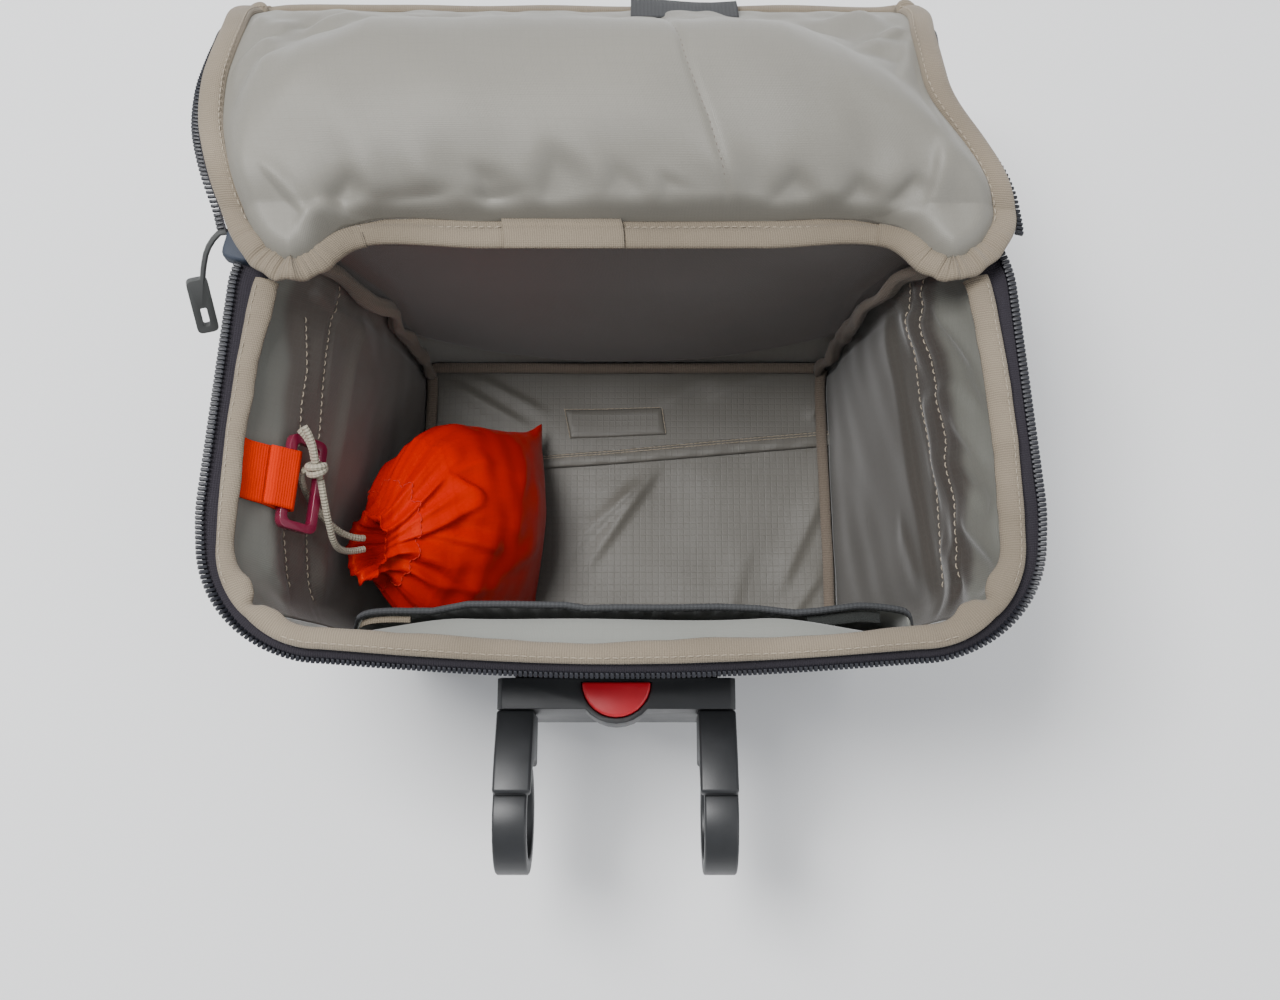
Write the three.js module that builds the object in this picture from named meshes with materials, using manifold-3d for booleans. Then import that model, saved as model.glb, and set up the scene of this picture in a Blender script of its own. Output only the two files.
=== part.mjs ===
// A handlebar bag with its lid thrown open, its rain cover inside and its handlebar bracket behind.
// Millimetres. X runs to the rider's right, Y forward, Z up. The origin is the middle of the base.
import * as THREE from 'three';
import { mergeVertices } from 'three/addons/utils/BufferGeometryUtils.js';
import Module from 'manifold-3d';

const wasm = await Module();
wasm.setup();

// Tub: the padded body of the bag
const TUB_HEIGHT = 166;
const BASE_WIDTH = 216;
const BASE_NEAR = 78;
const BASE_FAR = 81;
const BASE_CORNER = 16;
const FAR_CORNER_SHARE = 0.75;
const RIM_WIDTH_NEAR = 298;
const RIM_WIDTH_FAR = 280;
const RIM_NEAR = 96;
const RIM_FAR = 74;
const RIM_BOW = 5.5;
const RIM_CORNER = 40;
const SHELL_WALL = 3;
const SHELL_FLOOR = 4;
const GAP = 0.35;

// Linings, floor and the tapes that bind their edges
const LINING = 1.6;
const SIDE_PAD = 4;
const PAD_DROP = 50;
const PAD_TOP = TUB_HEIGHT - PAD_DROP;
const PAD_EDGE = 8;
const FLOOR_PAD = 3;
const BINDING_WIDTH = 10;
const BINDING_HEIGHT = 5.2;
const RIM_END_LEFT_Y = 49;
const RIM_END_RIGHT_Y = 50;
const SEAM_ROLL = 2.9;
const SEAM_WAVE = 2.2;
const FLOOR_TAPE_WIDTH = 5;
const FLOOR_TAPE_HEIGHT = 3.6;

// Zip
const ZIP_REACH = 8;
const ZIP_REACH_NEAR = 1.6;
const ZIP_RISE = 3.4;
const ZIP_RISE_NEAR = -2.5;
const ZIP_TAPE = 1.2;
const TEETH_WIDTH = 3.6;
const TEETH_HEIGHT = 2.8;
const ZIP_END_LEFT_Y = 52;
const ZIP_END_RIGHT_Y = 66;
const SLIDER_LENGTH = 17;
const SLIDER_WIDTH = 13;
const SLIDER_HEIGHT = 7;
const GRIP_LENGTH = 23;
const GRIP_WIDTH = 8.5;
const GRIP_THICKNESS = 4;
const GRIP_CORD = 2.4;

// Lid
const HINGE_NEAR_Y = 62;
const HINGE_BAND = 13;
const LID_WIDTH = 304;
const LID_LENGTH = 137.5;
const LID_RISE = 27;
const LID_TURN = 90;
const LID_LEAN = 19;
const LID_LEAN_SHARE = 0.5;
const LID_SKEW = 0.025;
const LID_DEPTH = 20;
const LID_DEPTH_HINGE = 4;
const LID_WALL = 2.6;
const LID_PUFF = 21;
const PUFF_SINK = 0.95;
const SINK_FROM = [0.48, 0.78];
const TIP_LIFT = 7.5;
const TIP_FROM = [0.66, 0.84];
const LID_ZIP_REACH = 4.4;
const LID_ZIP_DROP = 5;
const TAB_WIDTH = 46;
const TAB_LENGTH = 13;
const TAB_THICKNESS = 2.2;
const TAB_X = 44;

// Pocket on the near wall
const POCKET_FOOT = 20;
const POCKET_DROP = 20;
const POCKET_TOP = TUB_HEIGHT - POCKET_DROP;
const POCKET_CLOTH = 1.3;
const POCKET_BULGE = 15.5;
const POCKET_SPREAD = 0.25;
const ELASTIC_HEIGHT = 4.4;
const ELASTIC_THICKNESS = 2.3;

// Key strap and hook on the left wall
const STRAP_WIDTH = 25;
const STRAP_CLOTH = 1.4;
const STRAP_Y = -26;
const STRAP_TOP_DROP = 2.5;
const LOOP_DROP = 17;
const LOOP_Z = TUB_HEIGHT - LOOP_DROP;
const LOOP_RADIUS = 3.4;
const LAP_LENGTH = 9;
const HOOK_LENGTH = 38;
const HOOK_REACH = 18;
const HOOK_BAR = 3.4;
const HOOK_TILT = 52;

// Rain cover packed in its pouch
const POUCH_MOUTH = hung([-107, -42, -60]);
const POUCH_FOOT = [-43, -9, 13.4];
const POUCH_SEAM = [0.03, 1, 0.12];
const POUCH_WIDTH = 92;
const POUCH_THICKNESS = 56;
const PLEAT_DEPTH = 2.2;
const PLEAT_COUNT = 7;
const PLEAT_EASE = 6;

// Pouch cords: each strand's points from the mouth of the pouch to the knot, with heights below the rim
const CORD_DIAMETER = 2.8;
const CORD_SIDES = 8;
const CORD_STEPS = 14;
const TAIL_STEPS = 7;
const KNOT = hung([-119.5, -21.5, -19]);
const KNOT_RADIUS = 4.6;
const CORD_NEAR_PATH = [
  [-107.6, -44.7, -58.9], [-108.9, -45.3, -57.6], [-110.4, -46.0, -56.0], [-112.1, -46.8, -53.5],
  [-113.6, -47.3, -50.6], [-114.8, -47.4, -47.4], [-115.6, -47.0, -44.2], [-116.1, -45.9, -41.1],
  [-116.4, -44.2, -38.1], [-116.6, -41.9, -35.2], [-116.9, -39.2, -32.4], [-117.2, -36.2, -29.7],
  [-117.5, -33.0, -27.1], [-117.9, -29.7, -24.8], [-118.2, -26.9, -23.2], [-118.4, -25.3, -22.2],
];
const CORD_FAR_PATH = [
  [-107.9, -40.0, -59.1], [-109.6, -40.4, -57.2], [-111.6, -40.5, -55.2], [-114.0, -40.1, -53.1],
  [-116.5, -39.1, -50.7], [-118.9, -37.5, -48.0], [-121.1, -35.6, -44.9], [-123.0, -33.4, -41.5],
  [-124.6, -31.1, -37.9], [-125.9, -28.8, -34.2], [-126.7, -26.6, -30.6], [-127.0, -24.7, -27.3],
  [-126.8, -23.2, -24.4], [-125.9, -22.1, -22.0], [-124.5, -21.6, -20.6],
];
const TAIL_PATHS = [
  [[-120.6, -17.5, -17.8], [-121.6, -13.4, -17.0], [-123.6, -9.6, -16.0], [-126.2, -6.8, -15.0]],
  [[-119.8, -17.2, -15.8], [-120.4, -13.3, -13.6], [-121.6, -9.9, -11.6], [-123.2, -7.2, -9.8]],
];

// Bracket that clips the bag to a handlebar of 31.8 mm
const BAR_DIAMETER = 31.8;
const BAR_REACH = 54.6;
const BAR_Z = 95;
const BAR_CLEARANCE = 0.4;
const CLAMP_WALL = 6;
const CLAMP_WIDTH = 13.3;
const BRACKET_X = -2.5;
const BRACKET_WIDTH = 96;
const BRACKET_TOP = 110;
const BRACKET_FOOT = 56;
const BRACKET_REACH = 2.4;
const BRACKET_DEPTH = 12.6;
const ARM_WIDTH = 15;
const ARM_DEPTH = 24;
const PLATE_WIDTH = 82;
const PLATE_FOOT = 40;
const PLATE_TOP = 122;
const BUTTON_RADIUS = 13.8;
const BUTTON_HEIGHT = 12.6;
const BUTTON_PROUD = 2.6;
const BUTTON_TRAVEL = 3.5;
const BUTTON_WALL = 2.2;
const BUTTON_SETBACK = 2.1;

// Wall sections from the base to the rim, as shares of the way from the base size to the rim size
const WALL_SECTIONS = [
  { height: 0, nearSpread: 0, farSpread: 0, lean: 0, corner: 0, tuck: 3 },
  { height: 0.03, nearSpread: 0.03, farSpread: 0.01, lean: 0.03, corner: 0.02, tuck: 0.6 },
  { height: 0.1, nearSpread: 0.1, farSpread: 0.03, lean: 0.1, corner: 0.06, tuck: 0 },
  { height: 0.4, nearSpread: 0.4, farSpread: 0.14, lean: 0.36, corner: 0.3, tuck: 0 },
  { height: 0.68, nearSpread: 0.68, farSpread: 0.3, lean: 0.6, corner: 0.55, tuck: 0 },
  { height: 0.86, nearSpread: 0.87, farSpread: 0.66, lean: 0.82, corner: 0.8, tuck: 0 },
  { height: 1, nearSpread: 1, farSpread: 1, lean: 1, corner: 1, tuck: 0 },
];

// Half of the lid's edge, from the middle of the hinge round a drooping tip to the free edge
const LID_EDGE = [
  { side: 0, along: 0 },
  { side: 0.36, along: 0 },
  { side: 0.68, along: 0 },
  { side: 0.75, along: -0.075 },
  { side: 0.83, along: -0.118 },
  { side: 0.93, along: -0.075 },
  { side: 1.0, along: 0.02 },
  { side: 1.02, along: 0.13 },
  { side: 1.01, along: 0.29 },
  { side: 0.98, along: 0.47 },
  { side: 0.97, along: 0.66 },
  { side: 0.98, along: 0.84 },
  { side: 0.95, along: 0.955 },
  { side: 0.87, along: 0.993 },
  { side: 0.58, along: 1.0 },
  { side: 0.29, along: 1.01 },
  { side: 0, along: 1.01 },
];

// Rings of the lid's faces, from the edge to the middle: size, and share of the full height or depth
const DOME_RINGS = [
  { size: 1, rise: 0 },
  { size: 0.9, rise: 0.38 },
  { size: 0.74, rise: 0.72 },
  { size: 0.5, rise: 0.93 },
  { size: 0.22, rise: 1 },
  { size: 0.04, rise: 1 },
];
const PAD_RINGS = [
  { size: 1, rise: 0.7 },
  { size: 0.9, rise: 0.93 },
  { size: 0.5, rise: 0.97 },
  { size: 0.04, rise: 0.98 },
];
const TRAY_RINGS = [
  { size: 1, rise: 0 },
  { size: 1, rise: 0.5 },
  { size: 0.975, rise: 0.85 },
  { size: 0.92, rise: 1 },
  { size: 0.5, rise: 1.04 },
  { size: 0.04, rise: 1.06 },
];

// Sections of the rain cover pouch, from its gathered mouth to its flat foot seam
const POUCH_SECTIONS = [
  { along: 0, width: 0.1, thickness: 0.16, shift: 0, pleat: 0.3 },
  { along: 0.04, width: 0.2, thickness: 0.34, shift: 0.01, pleat: 1 },
  { along: 0.12, width: 0.5, thickness: 0.62, shift: 0.04, pleat: 1 },
  { along: 0.24, width: 0.84, thickness: 0.84, shift: 0.06, pleat: 0.6 },
  { along: 0.4, width: 0.98, thickness: 0.98, shift: 0.05, pleat: 0.2 },
  { along: 0.56, width: 0.99, thickness: 1, shift: 0.03, pleat: 0 },
  { along: 0.72, width: 0.97, thickness: 0.9, shift: 0.01, pleat: 0 },
  { along: 0.86, width: 0.97, thickness: 0.62, shift: 0, pleat: 0 },
  { along: 0.95, width: 0.98, thickness: 0.3, shift: 0, pleat: 0 },
  { along: 1, width: 0.99, thickness: 0.05, shift: 0, pleat: 0 },
];

const COLOURS = {
  shell: { color: 0x2b2b2f, roughness: 0.85, metalness: 0 },
  lining: { color: 0x8f8a82, roughness: 0.7, metalness: 0 },
  binding: { color: 0xafa391, roughness: 0.85, metalness: 0 },
  tape: { color: 0x322d37, roughness: 0.9, metalness: 0 },
  teeth: { color: 0x3c3e48, roughness: 0.45, metalness: 0 },
  slider: { color: 0x555f6e, roughness: 0.35, metalness: 0.6 },
  grip: { color: 0x4b4c4b, roughness: 0.6, metalness: 0 },
  elastic: { color: 0x646668, roughness: 0.85, metalness: 0 },
  strap: { color: 0xe44b23, roughness: 0.7, metalness: 0 },
  hook: { color: 0x6e1932, roughness: 0.35, metalness: 0 },
  cord: { color: 0xb9b2a0, roughness: 0.8, metalness: 0 },
  pouch: { color: 0xd72305, roughness: 0.45, metalness: 0 },
  bracket: { color: 0x1e1f21, roughness: 0.5, metalness: 0 },
  button: { color: 0xd72d3c, roughness: 0.45, metalness: 0 },
};

const CORNER_SHARE = 0.17;
const CORNER_STEPS = 4;
const SIDE_STEPS = 6;
const ARC_HANDLE = 0.5523;
const bag = new THREE.Group();

function piece(name, finish, geometry) {
  const mesh = new THREE.Mesh(geometry, new THREE.MeshStandardMaterial(COLOURS[finish]));
  mesh.name = name;
  bag.add(mesh);
}

// A point given by its height below the rim, which is negative
function hung([x, y, drop]) {
  return [x, y, TUB_HEIGHT + drop];
}

function mix(low, high, share) {
  return low + (high - low) * share;
}

function smoothStep(low, high, value) {
  const share = Math.min(1, Math.max(0, (value - low) / (high - low)));
  return share * share * (3 - 2 * share);
}

// Reads one row of a table at a place between its rows
function readTable(rows, key, place) {
  let upper = rows.findIndex((row) => row[key] >= place);
  if (upper < 0) upper = rows.length - 1;
  const lower = Math.max(0, upper - 1);
  const span = rows[upper][key] - rows[lower][key];
  const share = span > 0 ? Math.min(1, (place - rows[lower][key]) / span) : 0;
  const row = {};
  for (const name of Object.keys(rows[0])) row[name] = mix(rows[lower][name], rows[upper][name], share);
  return row;
}

function geometryFrom(positions, index) {
  const geometry = new THREE.BufferGeometry();
  geometry.setAttribute('position', new THREE.Float32BufferAttribute(positions, 3));
  let volume = 0;
  const corner = [new THREE.Vector3(), new THREE.Vector3(), new THREE.Vector3()];
  for (let i = 0; i < index.length; i += 3) {
    corner.forEach((point, k) => point.fromArray(positions, 3 * index[i + k]));
    volume += corner[0].dot(corner[1].clone().cross(corner[2]));
  }
  geometry.setIndex(volume < 0 ? index.slice().reverse() : index);
  return geometry;
}

// Joins rings of points into one closed body. Open ends are closed by a ladder across the ring.
function loft(rings, closed = false) {
  const count = rings[0].length;
  const positions = rings.flat().flatMap((point) => [point.x, point.y, point.z]);
  const index = [];
  const spans = closed ? rings.length : rings.length - 1;
  for (let ring = 0; ring < spans; ring += 1) {
    const next = (ring + 1) % rings.length;
    for (let step = 0; step < count; step += 1) {
      const after = (step + 1) % count;
      index.push(ring * count + step, ring * count + after, next * count + after);
      index.push(ring * count + step, next * count + after, next * count + step);
    }
  }
  if (!closed) {
    const last = (rings.length - 1) * count;
    for (let low = 0, high = count - 1; high - low > 1; low += 1, high -= 1) {
      index.push(low, high, low + 1);
      index.push(last + low, last + low + 1, last + high);
      if (high - low > 2) {
        index.push(low + 1, high, high - 1);
        index.push(last + low + 1, last + high - 1, last + high);
      }
    }
  }
  return geometryFrom(positions, index);
}

// Wall: corner 0 is far left, 1 near left, 2 near right and 3 far right
function levelAt(z) {
  const row = readTable(WALL_SECTIONS, 'height', Math.min(1, z / TUB_HEIGHT));
  return {
    halfNear: mix(BASE_WIDTH, RIM_WIDTH_NEAR, row.nearSpread) / 2 - row.tuck,
    halfFar: mix(BASE_WIDTH, RIM_WIDTH_FAR, row.farSpread) / 2 - row.tuck,
    near: -mix(BASE_NEAR, RIM_NEAR, row.lean) + row.tuck,
    far: mix(BASE_FAR, RIM_FAR, row.lean) - row.tuck,
    corner: mix(BASE_CORNER, RIM_CORNER, row.corner),
    bow: RIM_BOW * row.lean,
  };
}

function outlinePoint(turn, level) {
  const corners = [
    new THREE.Vector2(-level.halfFar, level.far),
    new THREE.Vector2(-level.halfNear, level.near),
    new THREE.Vector2(level.halfNear, level.near),
    new THREE.Vector2(level.halfFar, level.far),
  ];
  const farCorner = level.corner * FAR_CORNER_SHARE;
  const radii = [farCorner, level.corner, level.corner, farCorner];
  const place = (turn % 4 + 4) % 4;
  const nearest = Math.round(place) % 4;
  const along = (from, to, distance) => to.clone().sub(from).setLength(distance).add(from);
  if (Math.abs(place - Math.round(place)) <= CORNER_SHARE) {
    const here = corners[nearest];
    const start = along(here, corners[(nearest + 3) % 4], radii[nearest]);
    const end = along(here, corners[(nearest + 1) % 4], radii[nearest]);
    const share = (place - Math.round(place) + CORNER_SHARE) / (2 * CORNER_SHARE);
    const control1 = start.clone().lerp(here, ARC_HANDLE);
    const control2 = end.clone().lerp(here, ARC_HANDLE);
    return new THREE.CubicBezierCurve(start, control1, control2, end).getPoint(share);
  }
  const side = Math.floor(place);
  const next = (side + 1) % 4;
  const start = along(corners[side], corners[next], radii[side]);
  const end = along(corners[next], corners[side], radii[next]);
  const share = (place - side - CORNER_SHARE) / (1 - 2 * CORNER_SHARE);
  const point = start.lerp(end, share);
  if (side === 1) point.y -= level.bow * Math.sin(Math.PI * share);
  return point;
}

// A point on the wall, set in from its outer face
function wallPoint(turn, z, inset) {
  const level = levelAt(z);
  const small = 0.01;
  const point = outlinePoint(turn, level);
  const ahead = outlinePoint(turn + small, level);
  const way = ahead.sub(outlinePoint(turn - small, level)).normalize();
  return new THREE.Vector3(point.x - way.y * inset, point.y + way.x * inset, z);
}

// Places round the wall from one turn to another, with the same stops for every piece
function wallStops(from, to) {
  const stops = [from];
  for (let side = Math.floor(from) - 1; side <= Math.ceil(to); side += 1) {
    for (let step = 0; step < CORNER_STEPS; step += 1) {
      stops.push(side - CORNER_SHARE + (2 * CORNER_SHARE * step) / CORNER_STEPS);
    }
    for (let step = 0; step < SIDE_STEPS; step += 1) {
      stops.push(side + CORNER_SHARE + ((1 - 2 * CORNER_SHARE) * step) / SIDE_STEPS);
    }
  }
  const apart = 0.004;
  const inside = stops.filter((stop) => stop > from + apart && stop < to - apart);
  return [from, ...inside.sort((a, b) => a - b), to];
}

// The turn on a side wall that lies at a given Y on the rim
function turnAtY(y, side) {
  let low = side;
  let high = side + 1;
  const rim = levelAt(TUB_HEIGHT);
  const falling = outlinePoint(low, rim).y > outlinePoint(high, rim).y;
  for (let step = 0; step < 30; step += 1) {
    const middle = (low + high) / 2;
    if ((outlinePoint(middle, rim).y > y) === falling) low = middle;
    else high = middle;
  }
  return (low + high) / 2;
}

function wallRing(z, inset) {
  return wallStops(0, 4).slice(0, -1).map((turn) => wallPoint(turn, z, inset));
}

// A strip that runs round the wall with one cross-section, given as inset and height
function wallStrip(from, to, section) {
  const ringAt = (turn) => section(turn).map(([inset, z]) => wallPoint(turn, z, inset));
  return loft(wallStops(from, to).map(ringAt));
}

// A panel against the wall, between a back and a front inset
function wallPanel(stops, heights, back, front) {
  return loft(stops.map((turn) => [
    ...heights.slice().reverse().map((z) => wallPoint(turn, z, back(turn, z))),
    ...heights.map((z) => wallPoint(turn, z, front(turn, z))),
  ]));
}

const LINING_BACK = SHELL_WALL + GAP;
const FLOOR_TOP = SHELL_FLOOR + GAP + FLOOR_PAD;
const LINING_FOOT = FLOOR_TOP + GAP;
const HEIGHTS = WALL_SECTIONS.map((row) => row.height * TUB_HEIGHT);

// How thick the side panel's padding is at a place: full in the middle, none past these shares
const PAD_FADES = [0.27, 0.42];

function padding(turn, z) {
  const share = Math.abs(turn % 2 - 0.5);
  const across = 1 - smoothStep(...PAD_FADES, share);
  const up = 1 - smoothStep(PAD_TOP - PAD_EDGE, PAD_TOP, z);
  const onSide = Math.floor((turn % 4 + 4) % 4) % 2 === 0;
  return onSide ? (SIDE_PAD - LINING) * across * up : 0;
}

function liningFront(turn, z) {
  return LINING_BACK + LINING + padding(turn, z);
}

function makeShell() {
  const outer = HEIGHTS.map((z) => wallRing(z, 0));
  const inner = [...HEIGHTS.filter((z) => z > SHELL_FLOOR), SHELL_FLOOR].sort((a, b) => b - a);
  return loft([...outer, ...inner.map((z) => wallRing(z, SHELL_WALL))]);
}

function makeFloorPad() {
  return loft([wallRing(SHELL_FLOOR + GAP, LINING_BACK), wallRing(FLOOR_TOP, LINING_BACK)]);
}

function makeLining(from, to) {
  const seam = 0.0025;
  const heights = [LINING_FOOT, ...HEIGHTS.filter((z) => z > LINING_FOOT + 1), PAD_TOP - PAD_EDGE, PAD_TOP];
  heights.sort((a, b) => a - b);
  return wallPanel(wallStops(from + seam, to - seam), heights, () => LINING_BACK, liningFront);
}

function bindingSection() {
  const foot = TUB_HEIGHT + GAP;
  const top = foot + BINDING_HEIGHT;
  return [
    [0.06 * BINDING_WIDTH, foot],
    [0.97 * BINDING_WIDTH, foot],
    [BINDING_WIDTH, mix(foot, top, 0.5)],
    [0.84 * BINDING_WIDTH, mix(foot, top, 0.92)],
    [0.45 * BINDING_WIDTH, top],
    [0.1 * BINDING_WIDTH, mix(foot, top, 0.9)],
    [0, mix(foot, top, 0.5)],
  ];
}

// The zip lies nearly flat along the sides and tucks down along the near edge, between these turns
const ZIP_DIPS = [0.72, 1.12];
const ZIP_LIFTS = [1.88, 2.28];

function zipPlace(turn) {
  const near = smoothStep(...ZIP_DIPS, turn) * (1 - smoothStep(...ZIP_LIFTS, turn));
  return {
    reach: mix(ZIP_REACH, ZIP_REACH_NEAR, near),
    z: TUB_HEIGHT + mix(ZIP_RISE, ZIP_RISE_NEAR, near),
  };
}

function zipTapeSection(turn) {
  const { reach, z } = zipPlace(turn);
  const root = TUB_HEIGHT - ZIP_TAPE * 2;
  return [
    [-GAP, root - ZIP_TAPE * 1.5],
    [-GAP, root],
    [-GAP - reach, z + ZIP_TAPE / 2],
    [-GAP - reach, z - ZIP_TAPE],
  ];
}

function zipTeethSection(turn) {
  const { reach, z } = zipPlace(turn);
  const start = -GAP * 2 - reach;
  return [
    [start, z - TEETH_HEIGHT / 2],
    [start, z + TEETH_HEIGHT / 2],
    [start - TEETH_WIDTH, z + TEETH_HEIGHT / 2],
    [start - TEETH_WIDTH, z - TEETH_HEIGHT / 2],
  ];
}

function floorTapeSection(turn) {
  const back = liningFront(turn, LINING_FOOT) + GAP;
  const foot = FLOOR_TOP + GAP;
  return [
    [back, foot],
    [back, foot + FLOOR_TAPE_HEIGHT],
    [back + 0.6 * FLOOR_TAPE_WIDTH, foot + 0.75 * FLOOR_TAPE_HEIGHT],
    [back + FLOOR_TAPE_WIDTH, foot],
  ];
}

// A round roll of bound seam that climbs a far corner in soft waves
function makeCornerBinding(turn, phase) {
  const foot = FLOOR_TOP + GAP + FLOOR_TAPE_HEIGHT + GAP;
  const top = TUB_HEIGHT - 2;
  const sides = 8;
  const steps = 14;
  const rings = [];
  for (let step = 0; step <= steps; step += 1) {
    const z = mix(foot, top, step / steps);
    const wave = SEAM_WAVE * (1 + Math.sin(phase + (step / steps) * 3.4 * Math.PI)) / 2;
    const front = liningFront(turn, z);
    const tightness = Math.max(0, SEAM_ROLL + GAP + front - levelAt(z).corner * FAR_CORNER_SHARE);
    const clear = front + 2 * GAP + SEAM_ROLL + (Math.SQRT2 - 1) * tightness;
    const centre = wallPoint(turn, z, clear + wave);
    const ring = [];
    for (let side = 0; side < sides; side += 1) {
      const angle = (2 * Math.PI * side) / sides;
      ring.push(new THREE.Vector3(
        centre.x + SEAM_ROLL * Math.cos(angle),
        centre.y + SEAM_ROLL * Math.sin(angle),
        z,
      ));
    }
    rings.push(ring);
  }
  return loft(rings);
}

// Pocket: sewn flat at its foot and sides, standing open at its elastic top
const POCKET_FROM = 1.19;
const POCKET_TO = 1.845;

function pocketStops() {
  return wallStops(POCKET_FROM, POCKET_TO);
}

function pocketBack(turn, z) {
  const across = Math.sin((Math.PI * (turn - POCKET_FROM)) / (POCKET_TO - POCKET_FROM));
  const up = Math.min(1, Math.max(0, (z - POCKET_FOOT) / (POCKET_TOP - POCKET_FOOT)));
  return liningFront(turn, z) + 2 * GAP + POCKET_BULGE * Math.max(0, across) ** POCKET_SPREAD * up;
}

function makePocket() {
  const between = HEIGHTS.filter((z) => z > POCKET_FOOT && z < POCKET_TOP);
  const heights = [POCKET_FOOT, ...between, POCKET_TOP];
  return wallPanel(pocketStops(), heights, pocketBack, (turn, z) => pocketBack(turn, z) + POCKET_CLOTH);
}

function makePocketElastic() {
  const foot = POCKET_TOP + GAP;
  const heights = [foot, foot + ELASTIC_HEIGHT];
  const back = (turn) => pocketBack(turn, POCKET_TOP);
  return wallPanel(pocketStops(), heights, back, (turn) => back(turn) + ELASTIC_THICKNESS);
}

// Lid surface: x across, along from the near edge of the hinge band, lift off the surface
const HALF_LID = LID_WIDTH / 2;
const LID_TOTAL = HINGE_BAND + LID_LENGTH;
const LID_Z = TUB_HEIGHT + GAP;

function lidPoint(x, along, lift) {
  const radius = LID_LENGTH / THREE.MathUtils.degToRad(LID_TURN);
  const rise = THREE.MathUtils.degToRad(LID_RISE);
  const past = Math.max(0, along * (1 - (LID_SKEW * x) / HALF_LID) - HINGE_BAND);
  const heading = rise - past / radius;
  const flat = past > 0 ? 0 : 1;
  const outward = smoothStep(...TIP_FROM, Math.abs(x) / HALF_LID);
  const tip = TIP_LIFT * outward * (1 - smoothStep(1.5 * HINGE_BAND, 5 * HINGE_BAND, along));
  const reach = flat ? along : HINGE_BAND + radius * (Math.sin(rise) - Math.sin(heading));
  const y = HINGE_NEAR_Y + reach;
  const z = LID_Z + tip + (flat ? 0 : radius * (Math.cos(heading) - Math.cos(rise)));
  const turned = flat ? 0 : heading;
  const lean = LID_LEAN * smoothStep(0, LID_LEAN_SHARE * LID_TOTAL, along);
  return new THREE.Vector3(x - lean, y - Math.sin(turned) * lift, z + Math.cos(turned) * lift);
}

function edgeCorner(row, hand) {
  return new THREE.Vector3(hand * row.side * HALF_LID, row.along * LID_TOTAL, 0);
}

const edgeCurve = new THREE.CatmullRomCurve3([
  ...LID_EDGE.map((row) => edgeCorner(row, 1)),
  ...LID_EDGE.slice(1, -1).reverse().map((row) => edgeCorner(row, -1)),
], true, 'centripetal');
const EDGE_ROWS = 2 * (LID_EDGE.length - 1);
const EDGE_STEPS = EDGE_ROWS * 2;

// A point on the lid's edge, in rows of its table, set in towards the middle
function lidEdge(row, inset) {
  const place = ((row / EDGE_ROWS) % 1 + 1) % 1;
  const small = 0.002;
  const point = edgeCurve.getPoint(place);
  const way = edgeCurve.getPoint((place + small) % 1).sub(edgeCurve.getPoint((place - small + 1) % 1));
  way.normalize();
  return new THREE.Vector2(point.x - way.y * inset, point.y + way.x * inset);
}

const HINGE_ROW = 2;
const RIDGE_SHARE = 0.45;
const HINGE_LIMIT = RIM_FAR + GAP - HINGE_NEAR_Y;

function onHinge(row) {
  const place = ((row % EDGE_ROWS) + EDGE_ROWS) % EDGE_ROWS;
  return place <= HINGE_ROW || place >= EDGE_ROWS - HINGE_ROW;
}

function lidRing(inset, hingeInset, size, lift, hingeLimit = -Infinity) {
  const middle = LID_TOTAL / 2;
  const ring = [];
  for (let step = 0; step < EDGE_STEPS; step += 1) {
    const row = (step * EDGE_ROWS) / EDGE_STEPS;
    const edge = lidEdge(row, onHinge(row) ? hingeInset : inset);
    const start = Math.max(edge.y, hingeLimit);
    const x = edge.x * mix(RIDGE_SHARE, 1, size);
    const along = mix(middle, start, size);
    ring.push(lidPoint(x, along, lift(along)));
  }
  return ring;
}

function lidDepth(along) {
  return mix(LID_DEPTH_HINGE, LID_DEPTH, smoothStep(HINGE_BAND, 5 * HINGE_BAND, along));
}

// The pillow is full over the hinge's half of the lid and sinks towards the free edge
function lidPuff(along) {
  return LID_PUFF * (1 - PUFF_SINK * smoothStep(...SINK_FROM, along / LID_TOTAL));
}

// The lid's lining puffs up over a soft pad that fills the outer cloth
function makeLidLining() {
  const inset = BINDING_WIDTH + GAP;
  const hingeInset = HINGE_BAND + GAP + LINING;
  const trayEdge = HINGE_LIMIT + LID_WALL + GAP;
  const face = (row) => lidRing(inset, hingeInset, row.size, (along) => LINING + lidPuff(along) * row.rise);
  const backRing = (size, lift) => lidRing(inset, hingeInset + LID_WALL, size, lift, trayEdge);
  const back = (row) => backRing(row.size, (along) => Math.min(0, LID_WALL - lidDepth(along) * row.rise));
  const edge = lidRing(inset, hingeInset, 1, () => 0);
  const turned = backRing(1, () => 0);
  return loft([...DOME_RINGS.slice().reverse().map(face), edge, turned, ...PAD_RINGS.map(back)]);
}

// The lid's outer cloth is a shallow tray: no deeper than its edge at the hinge, full depth further on
function makeLidShell() {
  const outerLift = (row) => (along) => -GAP - lidDepth(along) * row.rise;
  const outer = (row) => lidRing(0, 0, row.size, outerLift(row), HINGE_LIMIT);
  const inner = (row) => lidRing(
    LID_WALL,
    LID_WALL,
    row.size,
    (along) => -GAP - Math.max(GAP, lidDepth(along) * row.rise - LID_WALL * Math.min(1, 2 * row.rise)),
    HINGE_LIMIT + LID_WALL,
  );
  return loft([
    ...TRAY_RINGS.slice().reverse().map(outer),
    ...TRAY_RINGS.map(inner),
  ]);
}

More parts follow.
